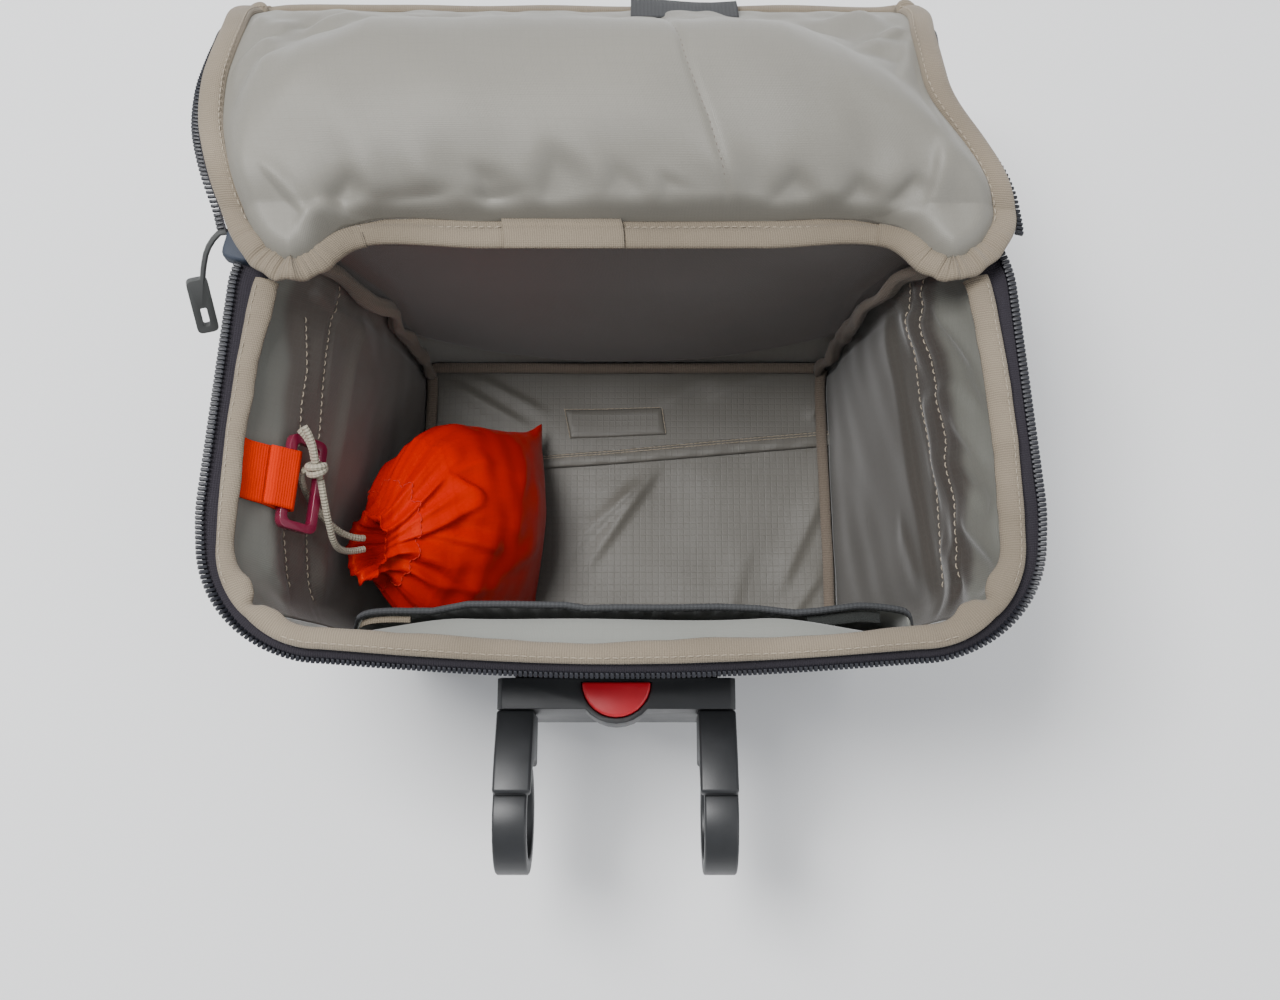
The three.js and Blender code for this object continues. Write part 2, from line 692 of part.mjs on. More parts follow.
// A strip along part of the lid's edge, its section given as inset and lift
function lidStrip(fromRow, toRow, section) {
  const rings = [];
  const steps = Math.round(((toRow - fromRow) * EDGE_STEPS) / EDGE_ROWS);
  for (let step = 0; step <= steps; step += 1) {
    const row = mix(fromRow, toRow, step / steps);
    rings.push(section(row).map(([inset, lift]) => {
      const edge = lidEdge(row, inset);
      return lidPoint(edge.x, edge.y, lift);
    }));
  }
  return loft(rings);
}

function lidBindingSection(width) {
  return [
    [0.05 * width, 0],
    [0.97 * width, 0],
    [width, 0.5 * BINDING_HEIGHT],
    [0.84 * width, 0.92 * BINDING_HEIGHT],
    [0.45 * width, BINDING_HEIGHT],
    [0.1 * width, 0.9 * BINDING_HEIGHT],
    [0, 0.5 * BINDING_HEIGHT],
  ];
}

const ZIP_ROW = 7;

function lidTapeSection() {
  return [
    [-GAP, GAP / 2],
    [-GAP, GAP / 2 + ZIP_TAPE],
    [-GAP - LID_ZIP_REACH, ZIP_TAPE - LID_ZIP_DROP],
    [-GAP - LID_ZIP_REACH, -LID_ZIP_DROP],
  ];
}

function lidTeethSection() {
  const start = -2 * GAP - LID_ZIP_REACH;
  const middle = ZIP_TAPE / 2 - LID_ZIP_DROP;
  return [
    [start, middle - TEETH_HEIGHT / 2],
    [start, middle + TEETH_HEIGHT / 2],
    [start - TEETH_WIDTH, middle + TEETH_HEIGHT / 2],
    [start - TEETH_WIDTH, middle - TEETH_HEIGHT / 2],
  ];
}

// A short webbing tab that stands off the top of the free edge's binding
function makeLidTab() {
  const rings = [];
  const steps = 4;
  const start = LID_TOTAL - 0.2 * BINDING_WIDTH;
  const foot = BINDING_HEIGHT + GAP;
  for (let step = 0; step <= steps; step += 1) {
    const x = mix(TAB_X - TAB_WIDTH / 2, TAB_X + TAB_WIDTH / 2, step / steps);
    const arch = TAB_THICKNESS * Math.sin((Math.PI * step) / steps);
    rings.push([
      lidPoint(x, start - 0.8 * TAB_LENGTH, foot + arch),
      lidPoint(x, start - 0.8 * TAB_LENGTH, foot + arch + TAB_THICKNESS),
      lidPoint(x, start + 0.2 * TAB_LENGTH, foot + arch / 2 + TAB_THICKNESS),
      lidPoint(x, start + 0.2 * TAB_LENGTH, foot + arch / 2),
    ]);
  }
  return loft(rings);
}

// Zip slider, parked at the left end of the zip
function sliderFrame() {
  const turn = turnAtY(ZIP_END_LEFT_Y, 0);
  const { reach, z } = zipPlace(turn);
  const onTeeth = (place) => wallPoint(place, TUB_HEIGHT, -2 * GAP - reach - TEETH_WIDTH / 2).setZ(z);
  const start = onTeeth(turn);
  const way = start.clone().sub(onTeeth(turn + 0.05)).normalize();
  const up = new THREE.Vector3(0, 0, 1);
  const frame = new THREE.Matrix4().makeBasis(way.clone().cross(up), way, up);
  return frame.setPosition(start.addScaledVector(way, SLIDER_LENGTH / 2 + GAP));
}

function roundedBox(width, length, height, radius) {
  const shape = new THREE.Shape();
  const x = width / 2;
  const y = length / 2;
  shape.moveTo(-x + radius, -y);
  shape.lineTo(x - radius, -y);
  shape.quadraticCurveTo(x, -y, x, -y + radius);
  shape.lineTo(x, y - radius);
  shape.quadraticCurveTo(x, y, x - radius, y);
  shape.lineTo(-x + radius, y);
  shape.quadraticCurveTo(-x, y, -x, y - radius);
  shape.lineTo(-x, -y + radius);
  shape.quadraticCurveTo(-x, -y, -x + radius, -y);
  const geometry = new THREE.ExtrudeGeometry(shape, { depth: height, bevelEnabled: false, curveSegments: 4 });
  return geometry.translate(0, 0, -height / 2);
}

function toSolid(geometry) {
  const bare = geometry.clone();
  bare.deleteAttribute('normal');
  bare.deleteAttribute('uv');
  const merged = mergeVertices(bare, 1e-4);
  return new wasm.Manifold(new wasm.Mesh({
    numProp: 3,
    vertProperties: new Float32Array(merged.attributes.position.array),
    triVerts: new Uint32Array(merged.index.array),
  }));
}

function fromSolid(solid) {
  const mesh = solid.getMesh();
  const geometry = new THREE.BufferGeometry();
  geometry.setAttribute('position', new THREE.BufferAttribute(mesh.vertProperties, 3));
  geometry.setIndex(new THREE.BufferAttribute(mesh.triVerts, 1));
  return geometry;
}

function tubeAlong(points, diameter, sides, steps) {
  const path = new THREE.CatmullRomCurve3(points.map((point) => new THREE.Vector3(...point)));
  const shape = new THREE.Shape();
  for (let side = 0; side < sides; side += 1) {
    const angle = (2 * Math.PI * side) / sides;
    const place = [(diameter / 2) * Math.cos(angle), (diameter / 2) * Math.sin(angle)];
    if (side === 0) shape.moveTo(...place);
    else shape.lineTo(...place);
  }
  return new THREE.ExtrudeGeometry(shape, { extrudePath: path, steps, bevelEnabled: false });
}

// The pull hangs from the slider's outer side: a short cord that is moulded into a flat grip
function makeZipPull(frame) {
  const at = (x, y, z) => new THREE.Vector3(x, y, z).applyMatrix4(frame).toArray();
  const side = -SLIDER_WIDTH / 2 - GAP;
  const cord = tubeAlong([
    at(side, 3, 1), at(side - 3, 2, 1), at(side - 7, -4, -2), at(side - 9, -10, -8), at(side - 10, -15, -14),
  ], GRIP_CORD, 6, 8);
  const grip = roundedBox(GRIP_WIDTH, GRIP_LENGTH, GRIP_THICKNESS, 2.5);
  const slot = roundedBox(GRIP_WIDTH * 0.3, GRIP_LENGTH * 0.35, GRIP_THICKNESS * 2, 0.8);
  const place = new THREE.Matrix4().makeRotationFromEuler(new THREE.Euler(0.85, 0.35, 0.05));
  place.setPosition(new THREE.Vector3(...at(side - 10.5, -21, -21)));
  slot.translate(0, -GRIP_LENGTH * 0.2, 0);
  grip.applyMatrix4(place);
  slot.applyMatrix4(place);
  return fromSolid(toSolid(grip).subtract(toSolid(slot)).add(toSolid(cord)));
}

// Key strap: down the wall, round the hook's bar and back up on itself
function strapFrame() {
  const turn = turnAtY(STRAP_Y, 0);
  const inset = liningFront(turn, LOOP_Z) + GAP + STRAP_CLOTH / 2;
  return { turn, inset, bar: wallPoint(turn, LOOP_Z, inset + LOOP_RADIUS) };
}

function makeKeyStrap() {
  const { turn, inset } = strapFrame();
  const line = [];
  const rootZ = TUB_HEIGHT - STRAP_TOP_DROP;
  for (const z of [rootZ, mix(rootZ, LOOP_Z, 0.5)]) {
    line.push([liningFront(turn, z) + GAP + STRAP_CLOTH / 2, z]);
  }
  const steps = 8;
  for (let step = 0; step <= steps; step += 1) {
    const angle = Math.PI + (Math.PI * step) / steps;
    line.push([inset + LOOP_RADIUS + LOOP_RADIUS * Math.cos(angle), LOOP_Z + LOOP_RADIUS * Math.sin(angle)]);
  }
  line.push([inset + LOOP_RADIUS * 1.2, LOOP_Z + LAP_LENGTH * 0.5]);
  line.push([inset + STRAP_CLOTH + GAP, LOOP_Z + LAP_LENGTH]);
  const outline = [1, -1].flatMap((hand) => {
    const edge = line.map(([x, z], at) => {
      const before = line[Math.max(0, at - 1)];
      const after = line[Math.min(line.length - 1, at + 1)];
      const way = new THREE.Vector2(after[0] - before[0], after[1] - before[1]).normalize();
      return [x - (hand * way.y * STRAP_CLOTH) / 2, z + (hand * way.x * STRAP_CLOTH) / 2];
    });
    return hand > 0 ? edge : edge.reverse();
  });
  const level = levelAt(LOOP_Z);
  const halfTurn = STRAP_WIDTH / 2 / (level.far - level.near);
  const flatWay = wallPoint(turn, LOOP_Z, 1).sub(wallPoint(turn, LOOP_Z, 0));
  const rings = [-1, 0, 1].map((side) => outline.map(([x, z]) => {
    const base = wallPoint(turn, z, 0).addScaledVector(flatWay, x);
    const along = wallPoint(turn + side * halfTurn, z, 0).sub(wallPoint(turn, z, 0));
    return base.add(along);
  }));
  return loft(rings);
}

function makeKeyHook() {
  const { turn, bar } = strapFrame();
  const ring = roundedBox(HOOK_LENGTH, HOOK_REACH, HOOK_BAR, 4);
  const eye = roundedBox(HOOK_LENGTH - 2 * HOOK_BAR, HOOK_REACH - 2 * HOOK_BAR, HOOK_BAR * 2, 2);
  const hook = toSolid(ring).subtract(toSolid(eye));
  const along = wallPoint(turn + 0.05, LOOP_Z, 0).sub(wallPoint(turn - 0.05, LOOP_Z, 0)).normalize();
  const tilt = THREE.MathUtils.degToRad(HOOK_TILT);
  const down = new THREE.Vector3(Math.cos(tilt), 0, -Math.sin(tilt));
  down.addScaledVector(along, -down.dot(along)).normalize();
  const frame = new THREE.Matrix4().makeBasis(along, down, along.clone().cross(down));
  frame.setPosition(bar.clone().addScaledVector(down, HOOK_REACH / 2 - HOOK_BAR / 2));
  return fromSolid(hook).applyMatrix4(frame);
}

// Pouch of slippery cloth, gathered at the mouth and sewn flat across its foot
function makePouch() {
  const mouth = new THREE.Vector3(...POUCH_MOUTH);
  const foot = new THREE.Vector3(...POUCH_FOOT);
  const length = mouth.distanceTo(foot);
  const axis = foot.clone().sub(mouth).normalize();
  const wide = new THREE.Vector3(...POUCH_SEAM).normalize();
  const thick = axis.clone().cross(wide).normalize();
  const sides = 28;
  const rings = POUCH_SECTIONS.map((row) => {
    const centre = mouth.clone().addScaledVector(axis, row.along * length);
    centre.addScaledVector(wide, row.shift * POUCH_WIDTH);
    const ring = [];
    for (let side = 0; side < sides; side += 1) {
      const angle = (2 * Math.PI * (side + 0.5)) / sides;
      const fold = row.pleat * PLEAT_DEPTH * Math.cos(PLEAT_COUNT * angle);
      const pleat = 1 + fold / ((row.width * POUCH_WIDTH) / 2 + PLEAT_EASE);
      const point = centre.clone();
      point.addScaledVector(wide, (row.width * POUCH_WIDTH * pleat * Math.cos(angle)) / 2);
      point.addScaledVector(thick, (row.thickness * POUCH_THICKNESS * pleat * Math.sin(angle)) / 2);
      ring.push(point);
    }
    return ring;
  });
  return loft(rings);
}

// The knot that gathers both strands, with its two short tails
function makeKnot() {
  const ball = new THREE.SphereGeometry(KNOT_RADIUS, 10, 7).translate(...KNOT);
  let knot = toSolid(ball);
  for (const path of TAIL_PATHS) {
    knot = knot.add(toSolid(tubeAlong([KNOT, ...path.map(hung)], CORD_DIAMETER, CORD_SIDES, TAIL_STEPS)));
  }
  return fromSolid(knot);
}

// Bracket
const CLAMP_BORE = BAR_DIAMETER / 2 + BAR_CLEARANCE;
const CLAMP_RADIUS = CLAMP_BORE + CLAMP_WALL;
const BRACKET_FAR_Y = -(RIM_NEAR + BRACKET_REACH);
const BRACKET_NEAR_Y = BRACKET_FAR_Y - BRACKET_DEPTH;
const BAR_Y = BRACKET_FAR_Y - BAR_REACH;
const BUTTON_Y = BRACKET_FAR_Y - BUTTON_SETBACK;

function halfDisc(radius, height, zFoot, grow) {
  const shape = new THREE.Shape();
  const steps = 14;
  shape.moveTo(radius + grow, grow);
  for (let step = 0; step <= steps; step += 1) {
    const angle = -(Math.PI * step) / steps;
    shape.lineTo((radius + grow) * Math.cos(angle), (radius + grow) * Math.sin(angle));
  }
  shape.lineTo(-radius - grow, grow);
  const geometry = new THREE.ExtrudeGeometry(shape, { depth: height, bevelEnabled: false });
  return geometry.translate(BRACKET_X, BUTTON_Y, zFoot);
}

function boxBetween(low, high) {
  const size = high.map((value, axis) => value - low[axis]);
  const middle = high.map((value, axis) => (value + low[axis]) / 2);
  return new THREE.BoxGeometry(...size).translate(...middle);
}

function makeBracketBody() {
  const half = BRACKET_WIDTH / 2;
  const shape = new THREE.Shape();
  const cut = 4;
  shape.moveTo(-half + cut, BRACKET_FOOT);
  shape.lineTo(half - cut, BRACKET_FOOT);
  shape.lineTo(half, BRACKET_FOOT + cut);
  shape.lineTo(half, BRACKET_TOP - cut / 2);
  shape.lineTo(half - cut / 2, BRACKET_TOP);
  shape.lineTo(-half + cut / 2, BRACKET_TOP);
  shape.lineTo(-half, BRACKET_TOP - cut / 2);
  shape.lineTo(-half, BRACKET_FOOT + cut);
  const block = new THREE.ExtrudeGeometry(shape, { depth: BRACKET_DEPTH, bevelEnabled: false });
  block.rotateX(Math.PI / 2).translate(BRACKET_X, BRACKET_FAR_Y, 0);
  const wellFoot = BRACKET_TOP + BUTTON_PROUD - BUTTON_HEIGHT - BUTTON_TRAVEL - GAP;
  const boss = halfDisc(BUTTON_RADIUS, BRACKET_TOP - wellFoot + 3, wellFoot - 3, GAP + BUTTON_WALL);
  const keep = boxBetween(
    [BRACKET_X - half, BRACKET_NEAR_Y - 2 * BUTTON_RADIUS, 0],
    [BRACKET_X + half, BRACKET_FAR_Y, 2 * BRACKET_TOP],
  );
  const well = halfDisc(BUTTON_RADIUS, BRACKET_TOP, wellFoot, GAP);
  return fromSolid(toSolid(block).add(toSolid(boss)).intersect(toSolid(keep)).subtract(toSolid(well)));
}

function makeButton() {
  return halfDisc(BUTTON_RADIUS, BUTTON_HEIGHT, BRACKET_TOP + BUTTON_PROUD - BUTTON_HEIGHT, 0);
}

// An arm's side view: out from the bracket and over the clamp, which it is cut to fit
function makeArm(x) {
  const shape = new THREE.Shape();
  const start = BRACKET_NEAR_Y - GAP;
  const top = BRACKET_TOP - 0.5;
  const crest = BAR_Z + CLAMP_RADIUS + 3;
  shape.moveTo(start, top);
  shape.lineTo(start, top - ARM_DEPTH);
  shape.lineTo(BAR_Y + CLAMP_RADIUS * 0.8, top - ARM_DEPTH);
  shape.lineTo(BAR_Y, BAR_Z);
  shape.lineTo(BAR_Y + 9, crest);
  shape.lineTo(BAR_Y + CLAMP_RADIUS, crest - 3);
  const blank = new THREE.ExtrudeGeometry(shape, { depth: ARM_WIDTH, bevelEnabled: false });
  blank.applyMatrix4(new THREE.Matrix4().makeBasis(
    new THREE.Vector3(0, 1, 0), new THREE.Vector3(0, 0, 1), new THREE.Vector3(1, 0, 0),
  ));
  blank.translate(x, 0, 0);
  const seat = new THREE.CylinderGeometry(CLAMP_RADIUS + GAP, CLAMP_RADIUS + GAP, ARM_WIDTH * 4, 28);
  seat.rotateZ(Math.PI / 2).translate(x, BAR_Y, BAR_Z);
  return fromSolid(toSolid(blank).subtract(toSolid(seat)));
}

function makeClampBand(x) {
  const sides = 28;
  const profile = [
    new THREE.Vector2(CLAMP_BORE, 0),
    new THREE.Vector2(CLAMP_RADIUS, 0),
    new THREE.Vector2(CLAMP_RADIUS, CLAMP_WIDTH),
    new THREE.Vector2(CLAMP_BORE, CLAMP_WIDTH),
    new THREE.Vector2(CLAMP_BORE, 0),
  ];
  const band = new THREE.LatheGeometry(profile, sides);
  return band.rotateZ(-Math.PI / 2).translate(x, BAR_Y, BAR_Z);
}

// The point of the near wall's outer face at a given X and height, set off by the gap
function nearWallAt(x, z) {
  let low = 1;
  let high = 2;
  for (let step = 0; step < 30; step += 1) {
    const middle = (low + high) / 2;
    if (wallPoint(middle, z, -GAP).x < x) low = middle;
    else high = middle;
  }
  return wallPoint((low + high) / 2, z, -GAP);
}

// A moulded plate on the back of the bag, cut to lie against the sloping wall
function makeAdapterPlate() {
  const steps = 6;
  const rows = 5;
  const outside = BRACKET_FAR_Y + GAP;
  const rings = [];
  for (let step = 0; step <= steps; step += 1) {
    const x = BRACKET_X + PLATE_WIDTH * (step / steps - 0.5);
    const front = [];
    for (let row = 0; row <= rows; row += 1) {
      front.push(nearWallAt(x, mix(PLATE_FOOT, PLATE_TOP, row / rows)));
    }
    const back = front.map((point) => point.clone().setY(outside)).reverse();
    rings.push([...front, ...back]);
  }
  return loft(rings);
}

// The tub and its linings
piece('shell', 'shell', makeShell());
piece('floor_pad', 'lining', makeFloorPad());
piece('lining_left', 'lining', makeLining(0, 1));
piece('lining_near', 'lining', makeLining(1, 2));
piece('lining_right', 'lining', makeLining(2, 3));
piece('lining_far', 'lining', makeLining(3, 4));
piece('floor_binding', 'binding', wallStrip(2.1, 4.9, floorTapeSection));
piece('corner_binding_left', 'binding', makeCornerBinding(4, 0.4));
piece('corner_binding_right', 'binding', makeCornerBinding(3, 2.1));
piece('inner_pocket', 'lining', makePocket());
piece('pocket_elastic', 'elastic', makePocketElastic());

// The rim
const rimFrom = turnAtY(RIM_END_LEFT_Y, 0);
const rimTo = turnAtY(RIM_END_RIGHT_Y, 2);
piece('rim_binding', 'binding', wallStrip(rimFrom, rimTo, bindingSection));
const zipFrom = turnAtY(ZIP_END_LEFT_Y, 0);
const zipTo = turnAtY(ZIP_END_RIGHT_Y, 2);
piece('zip_tape_body', 'tape', wallStrip(zipFrom, zipTo, zipTapeSection));
piece('zip_teeth_body', 'teeth', wallStrip(zipFrom, zipTo, zipTeethSection));
const slider = sliderFrame();
piece('zip_slider', 'slider', roundedBox(SLIDER_WIDTH, SLIDER_LENGTH, SLIDER_HEIGHT, 4).applyMatrix4(slider));
piece('zip_pull', 'grip', makeZipPull(slider));

// The lid
piece('lid_shell', 'shell', makeLidShell());
piece('lid_lining', 'lining', makeLidLining());
const hingeGap = (3 * GAP) / lidEdge(HINGE_ROW, 0).distanceTo(lidEdge(HINGE_ROW + 1, 0));
piece('hinge_binding', 'binding', lidStrip(-HINGE_ROW, HINGE_ROW, () => lidBindingSection(HINGE_BAND)));
piece('lid_binding', 'binding', lidStrip(
  HINGE_ROW + hingeGap,
  EDGE_ROWS - HINGE_ROW - hingeGap,
  () => lidBindingSection(BINDING_WIDTH),
));
piece('zip_tape_lid', 'tape', lidStrip(ZIP_ROW, EDGE_ROWS - ZIP_ROW, lidTapeSection));
piece('zip_teeth_lid', 'teeth', lidStrip(ZIP_ROW, EDGE_ROWS - ZIP_ROW, lidTeethSection));
piece('lid_tab', 'binding', makeLidTab());

// What hangs and lies inside
piece('key_strap', 'strap', makeKeyStrap());
piece('key_hook', 'hook', makeKeyHook());
piece('rain_cover_pouch', 'pouch', makePouch());
piece('cord_knot', 'cord', makeKnot());
piece('cord_near', 'cord', tubeAlong(CORD_NEAR_PATH.map(hung), CORD_DIAMETER, CORD_SIDES, CORD_STEPS));
piece('cord_far', 'cord', tubeAlong(CORD_FAR_PATH.map(hung), CORD_DIAMETER, CORD_SIDES, CORD_STEPS));

// The bracket
const armLeft = BRACKET_X - BRACKET_WIDTH / 2;
const armRight = BRACKET_X + BRACKET_WIDTH / 2 - ARM_WIDTH;
piece('adapter_plate', 'bracket', makeAdapterPlate());
piece('bracket_body', 'bracket', makeBracketBody());
piece('bracket_arm_left', 'bracket', makeArm(armLeft));
piece('bracket_arm_right', 'bracket', makeArm(armRight));
piece('clamp_band_left', 'bracket', makeClampBand(armLeft));
piece('clamp_band_right', 'bracket', makeClampBand(armRight + ARM_WIDTH - CLAMP_WIDTH));
piece('release_button', 'button', makeButton());

export default bag;
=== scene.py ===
import math

import bpy
import numpy as np
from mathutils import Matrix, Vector


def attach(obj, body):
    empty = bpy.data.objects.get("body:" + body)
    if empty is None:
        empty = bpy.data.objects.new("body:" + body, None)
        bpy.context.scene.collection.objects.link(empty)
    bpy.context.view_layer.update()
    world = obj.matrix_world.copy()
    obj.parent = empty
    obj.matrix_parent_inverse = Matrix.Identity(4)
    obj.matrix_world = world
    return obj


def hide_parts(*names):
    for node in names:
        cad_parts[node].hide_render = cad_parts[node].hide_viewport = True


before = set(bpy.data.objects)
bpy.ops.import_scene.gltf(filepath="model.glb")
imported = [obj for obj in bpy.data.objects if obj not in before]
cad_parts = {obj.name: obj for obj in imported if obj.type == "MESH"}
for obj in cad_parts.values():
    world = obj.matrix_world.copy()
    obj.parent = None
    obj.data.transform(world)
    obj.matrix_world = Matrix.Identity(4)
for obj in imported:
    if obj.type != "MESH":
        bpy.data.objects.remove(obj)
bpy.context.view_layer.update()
bpy.ops.object.select_all(action="DESELECT")

MM = 0.001
TURN = 2 * math.pi

# Sizes of the tub
TUB_HEIGHT = 166.0
BASE_WIDTH, BASE_NEAR, BASE_FAR, BASE_CORNER = 216.0, 78.0, 81.0, 16.0
RIM_WIDTH_NEAR, RIM_WIDTH_FAR, RIM_NEAR, RIM_FAR = 298.0, 280.0, 96.0, 74.0
RIM_BOW, RIM_CORNER, FAR_CORNER_SHARE = 5.5, 40.0, 0.75
SHELL_WALL, SHELL_FLOOR, GAP = 3.0, 4.0, 0.35
LINING, FLOOR_PAD = 1.6, 3.0
CORNER_SHARE, ARC_HANDLE = 0.17, 0.5523
LINING_BACK = SHELL_WALL + GAP
FLOOR_TOP = SHELL_FLOOR + GAP + FLOOR_PAD

# Height share, near spread, far spread, lean, corner and tuck of the wall
WALL_SECTIONS = np.array([
    (0, 0, 0, 0, 0, 3),
    (0.03, 0.03, 0.01, 0.03, 0.02, 0.6),
    (0.1, 0.1, 0.03, 0.1, 0.06, 0),
    (0.4, 0.4, 0.14, 0.36, 0.3, 0),
    (0.68, 0.68, 0.3, 0.6, 0.55, 0),
    (0.86, 0.87, 0.66, 0.82, 0.8, 0),
    (1, 1, 1, 1, 1, 0),
])

# Sizes of the tapes and of the zip
BINDING_WIDTH, BINDING_HEIGHT = 10.0, 5.2
RIM_END_LEFT_Y, RIM_END_RIGHT_Y = 49.0, 50.0
RIM_SLACK = 5.0
ZIP_REACH, ZIP_REACH_NEAR, ZIP_RISE, ZIP_RISE_NEAR = 8.0, 1.6, 3.4, -2.5
ZIP_TAPE, TEETH_WIDTH, TEETH_HEIGHT, TEETH_PITCH = 1.2, 3.6, 2.8, 1.85
ZIP_END_LEFT_Y, ZIP_END_RIGHT_Y = 52.0, 66.0
ZIP_DIPS, ZIP_LIFTS = (0.72, 1.12), (1.88, 2.28)

# Sizes of the lid
HINGE_NEAR_Y, HINGE_BAND = 62.0, 13.0
LID_WIDTH, LID_LENGTH, LID_RISE, LID_TURN = 304.0, 137.5, 27.0, 90.0
LID_LEAN, LID_LEAN_SHARE, LID_SKEW, LID_PUFF = 19.0, 0.5, 0.025, 21.0
PUFF_SINK = 0.95
HINGE_SEAM = 0.66 * HINGE_BAND
LID_EASE, LINING_EASE = (-7, 7), (-14, 34)
LID_DEPTH, LID_DEPTH_HINGE = 20.0, 4.0
TIP_LIFT, TIP_FROM = 7.5, (0.66, 0.84)
LID_ZIP_REACH, LID_ZIP_DROP = 4.4, 5.0
HALF_LID, LID_TOTAL = LID_WIDTH / 2, HINGE_BAND + LID_LENGTH
LID_Z = TUB_HEIGHT + GAP
RIDGE_SHARE = 0.45
HINGE_LIMIT = RIM_FAR + GAP - HINGE_NEAR_Y

# Half of the lid's edge, from the middle of the hinge to the middle of the free edge
LID_EDGE = [
    (0, 0), (0.36, 0), (0.68, 0), (0.75, -0.075), (0.83, -0.118), (0.93, -0.075), (1.0, 0.02),
    (1.02, 0.13), (1.01, 0.29), (0.98, 0.47), (0.97, 0.66), (0.98, 0.84), (0.95, 0.955), (0.87, 0.993),
    (0.58, 1.0), (0.29, 1.01), (0, 1.01),
]
HINGE_ROW, MITRE_ROW = 2, 11.6
LINING_ELBOW, LINING_CORNER = 4.6, 12.2
EDGE_ROWS = 2 * (len(LID_EDGE) - 1)

# How finely the pieces are divided
WALL_ROWS, SIDE_WALL_STEPS, CROSS_WALL_STEPS = 96, 110, 150
FLOOR_GRID = (184, 134)
TAPE_SIDES, TAPE_STEPS, HINGE_TAPE_STEPS, FLOOR_TAPE_STEPS = 32, 620, 220, 420
ZIP_TAPE_STEPS, TEETH_STEPS, LID_ZIP_STEPS = 420, 500, 480
SHELL_STEPS, SHELL_ROWS, SHELL_INNER_ROWS = 420, 84, 20
LID_COVER_STEPS, LID_COVER_ROWS, LINING_EDGE_STEPS = 360, 26, 132
LINING_ACROSS, LINING_UP, LINING_SIDE_STEPS = 250, 130, 160
POCKET_STEPS, POCKET_ROWS, BAND_STEPS, BAND_TAPE_STEPS = 130, 60, 260, 60

# How thick each cloth is
FLOOR_CLOTH, FLOOR_EXTRA, WALL_CLOTH, LAP_CLOTH = 1.4, 0.9, 1.2, 0.7
LINING_CLOTH, COVER_CLOTH, POCKET_CLOTH, TAB_CLOTH, STRAP_CLOTH = 1.0, 2.0, 0.9, 1.1, 1.3

# Cords of the pouch, from its mouth to the knot
CORD_DIAMETER = 2.8
KNOT = (-119.5, -21.5, 147.0)
CORD_NEAR_PATH = [
    (-107.6, -44.7, 107.1), (-108.9, -45.3, 108.4), (-110.4, -46.0, 110.0), (-112.1, -46.8, 112.5),
    (-113.6, -47.3, 115.4), (-114.8, -47.4, 118.6), (-115.6, -47.0, 121.8), (-116.1, -45.9, 124.9),
    (-116.4, -44.2, 127.9), (-116.6, -41.9, 130.8), (-116.9, -39.2, 133.6), (-117.2, -36.2, 136.3),
    (-117.5, -33.0, 138.9), (-117.9, -29.7, 141.2), (-118.2, -26.9, 142.8), (-118.4, -25.3, 143.8),
]
CORD_FAR_PATH = [
    (-107.9, -40.0, 106.9), (-109.6, -40.4, 108.8), (-111.6, -40.5, 110.8), (-114.0, -40.1, 112.9),
    (-116.5, -39.1, 115.3), (-118.9, -37.5, 118.0), (-121.1, -35.6, 121.1), (-123.0, -33.4, 124.5),
    (-124.6, -31.1, 128.1), (-125.9, -28.8, 131.8), (-126.7, -26.6, 135.4), (-127.0, -24.7, 138.7),
    (-126.8, -23.2, 141.6), (-125.9, -22.1, 144.0), (-124.5, -21.6, 145.4),
]
TAIL_PATHS = [
    [(-120.6, -17.5, 148.2), (-121.6, -13.4, 149.0), (-123.6, -9.6, 150.0), (-126.2, -6.8, 151.0)],
    [(-119.8, -17.2, 150.2), (-120.4, -13.3, 152.4), (-121.6, -9.9, 154.4), (-123.2, -7.2, 156.2)],
]


def mix(low, high, share):
    return low + (high - low) * share


def smooth_step(low, high, value):
    share = np.clip((np.asarray(value, float) - low) / (high - low), 0, 1)
    return share * share * (3 - 2 * share)


def unit(way):
    return way / np.linalg.norm(way)


def unrest(x, y, length, seed):
    """A soft random swell over two directions, about -1 to 1, with waves about that long."""
    source = np.random.default_rng(seed)
    total = np.zeros(np.broadcast(x, y).shape)
    for _ in range(12):
        angle, phase = source.uniform(0, TURN, 2)
        wave = length * source.uniform(0.7, 1.6)
        total += np.sin((x * math.cos(angle) + y * math.sin(angle)) * TURN / wave + phase)
    return total / 4.2


def fold(x, y, start, end, width, height, steep=0.45):
    """A fold from start to end, steeper on its left side, that dies out at both ends."""
    run = np.subtract(end, start).astype(float)
    length = np.linalg.norm(run)
    way = run / length
    along = (x - start[0]) * way[0] + (y - start[1]) * way[1]
    off = (y - start[1]) * way[0] - (x - start[0]) * way[1]
    share = np.clip(along / length, -0.3, 1.3)
    fade = np.exp(-((share - 0.5) / 0.42) ** 4)
    spread = np.where(off > 0, width * steep, width)
    return height * fade * np.exp(-((off / spread) ** 2))


def folds(x, y, rows):
    return sum(fold(x, y, row[0:2], row[2:4], row[4], row[5]) for row in rows)


# The tub's wall
def raw_level(z):
    share = np.clip(z / TUB_HEIGHT, 0, 1)
    row = [np.interp(share, WALL_SECTIONS[:, 0], WALL_SECTIONS[:, column]) for column in range(1, 6)]
    near_spread, far_spread, lean, corner, tuck = row
    return np.array([
        mix(BASE_WIDTH, RIM_WIDTH_NEAR, near_spread) / 2 - tuck,
        mix(BASE_WIDTH, RIM_WIDTH_FAR, far_spread) / 2 - tuck,
        -mix(BASE_NEAR, RIM_NEAR, lean) + tuck,
        mix(BASE_FAR, RIM_FAR, lean) - tuck,
        mix(BASE_CORNER, RIM_CORNER, corner),
        RIM_BOW * lean,
    ])


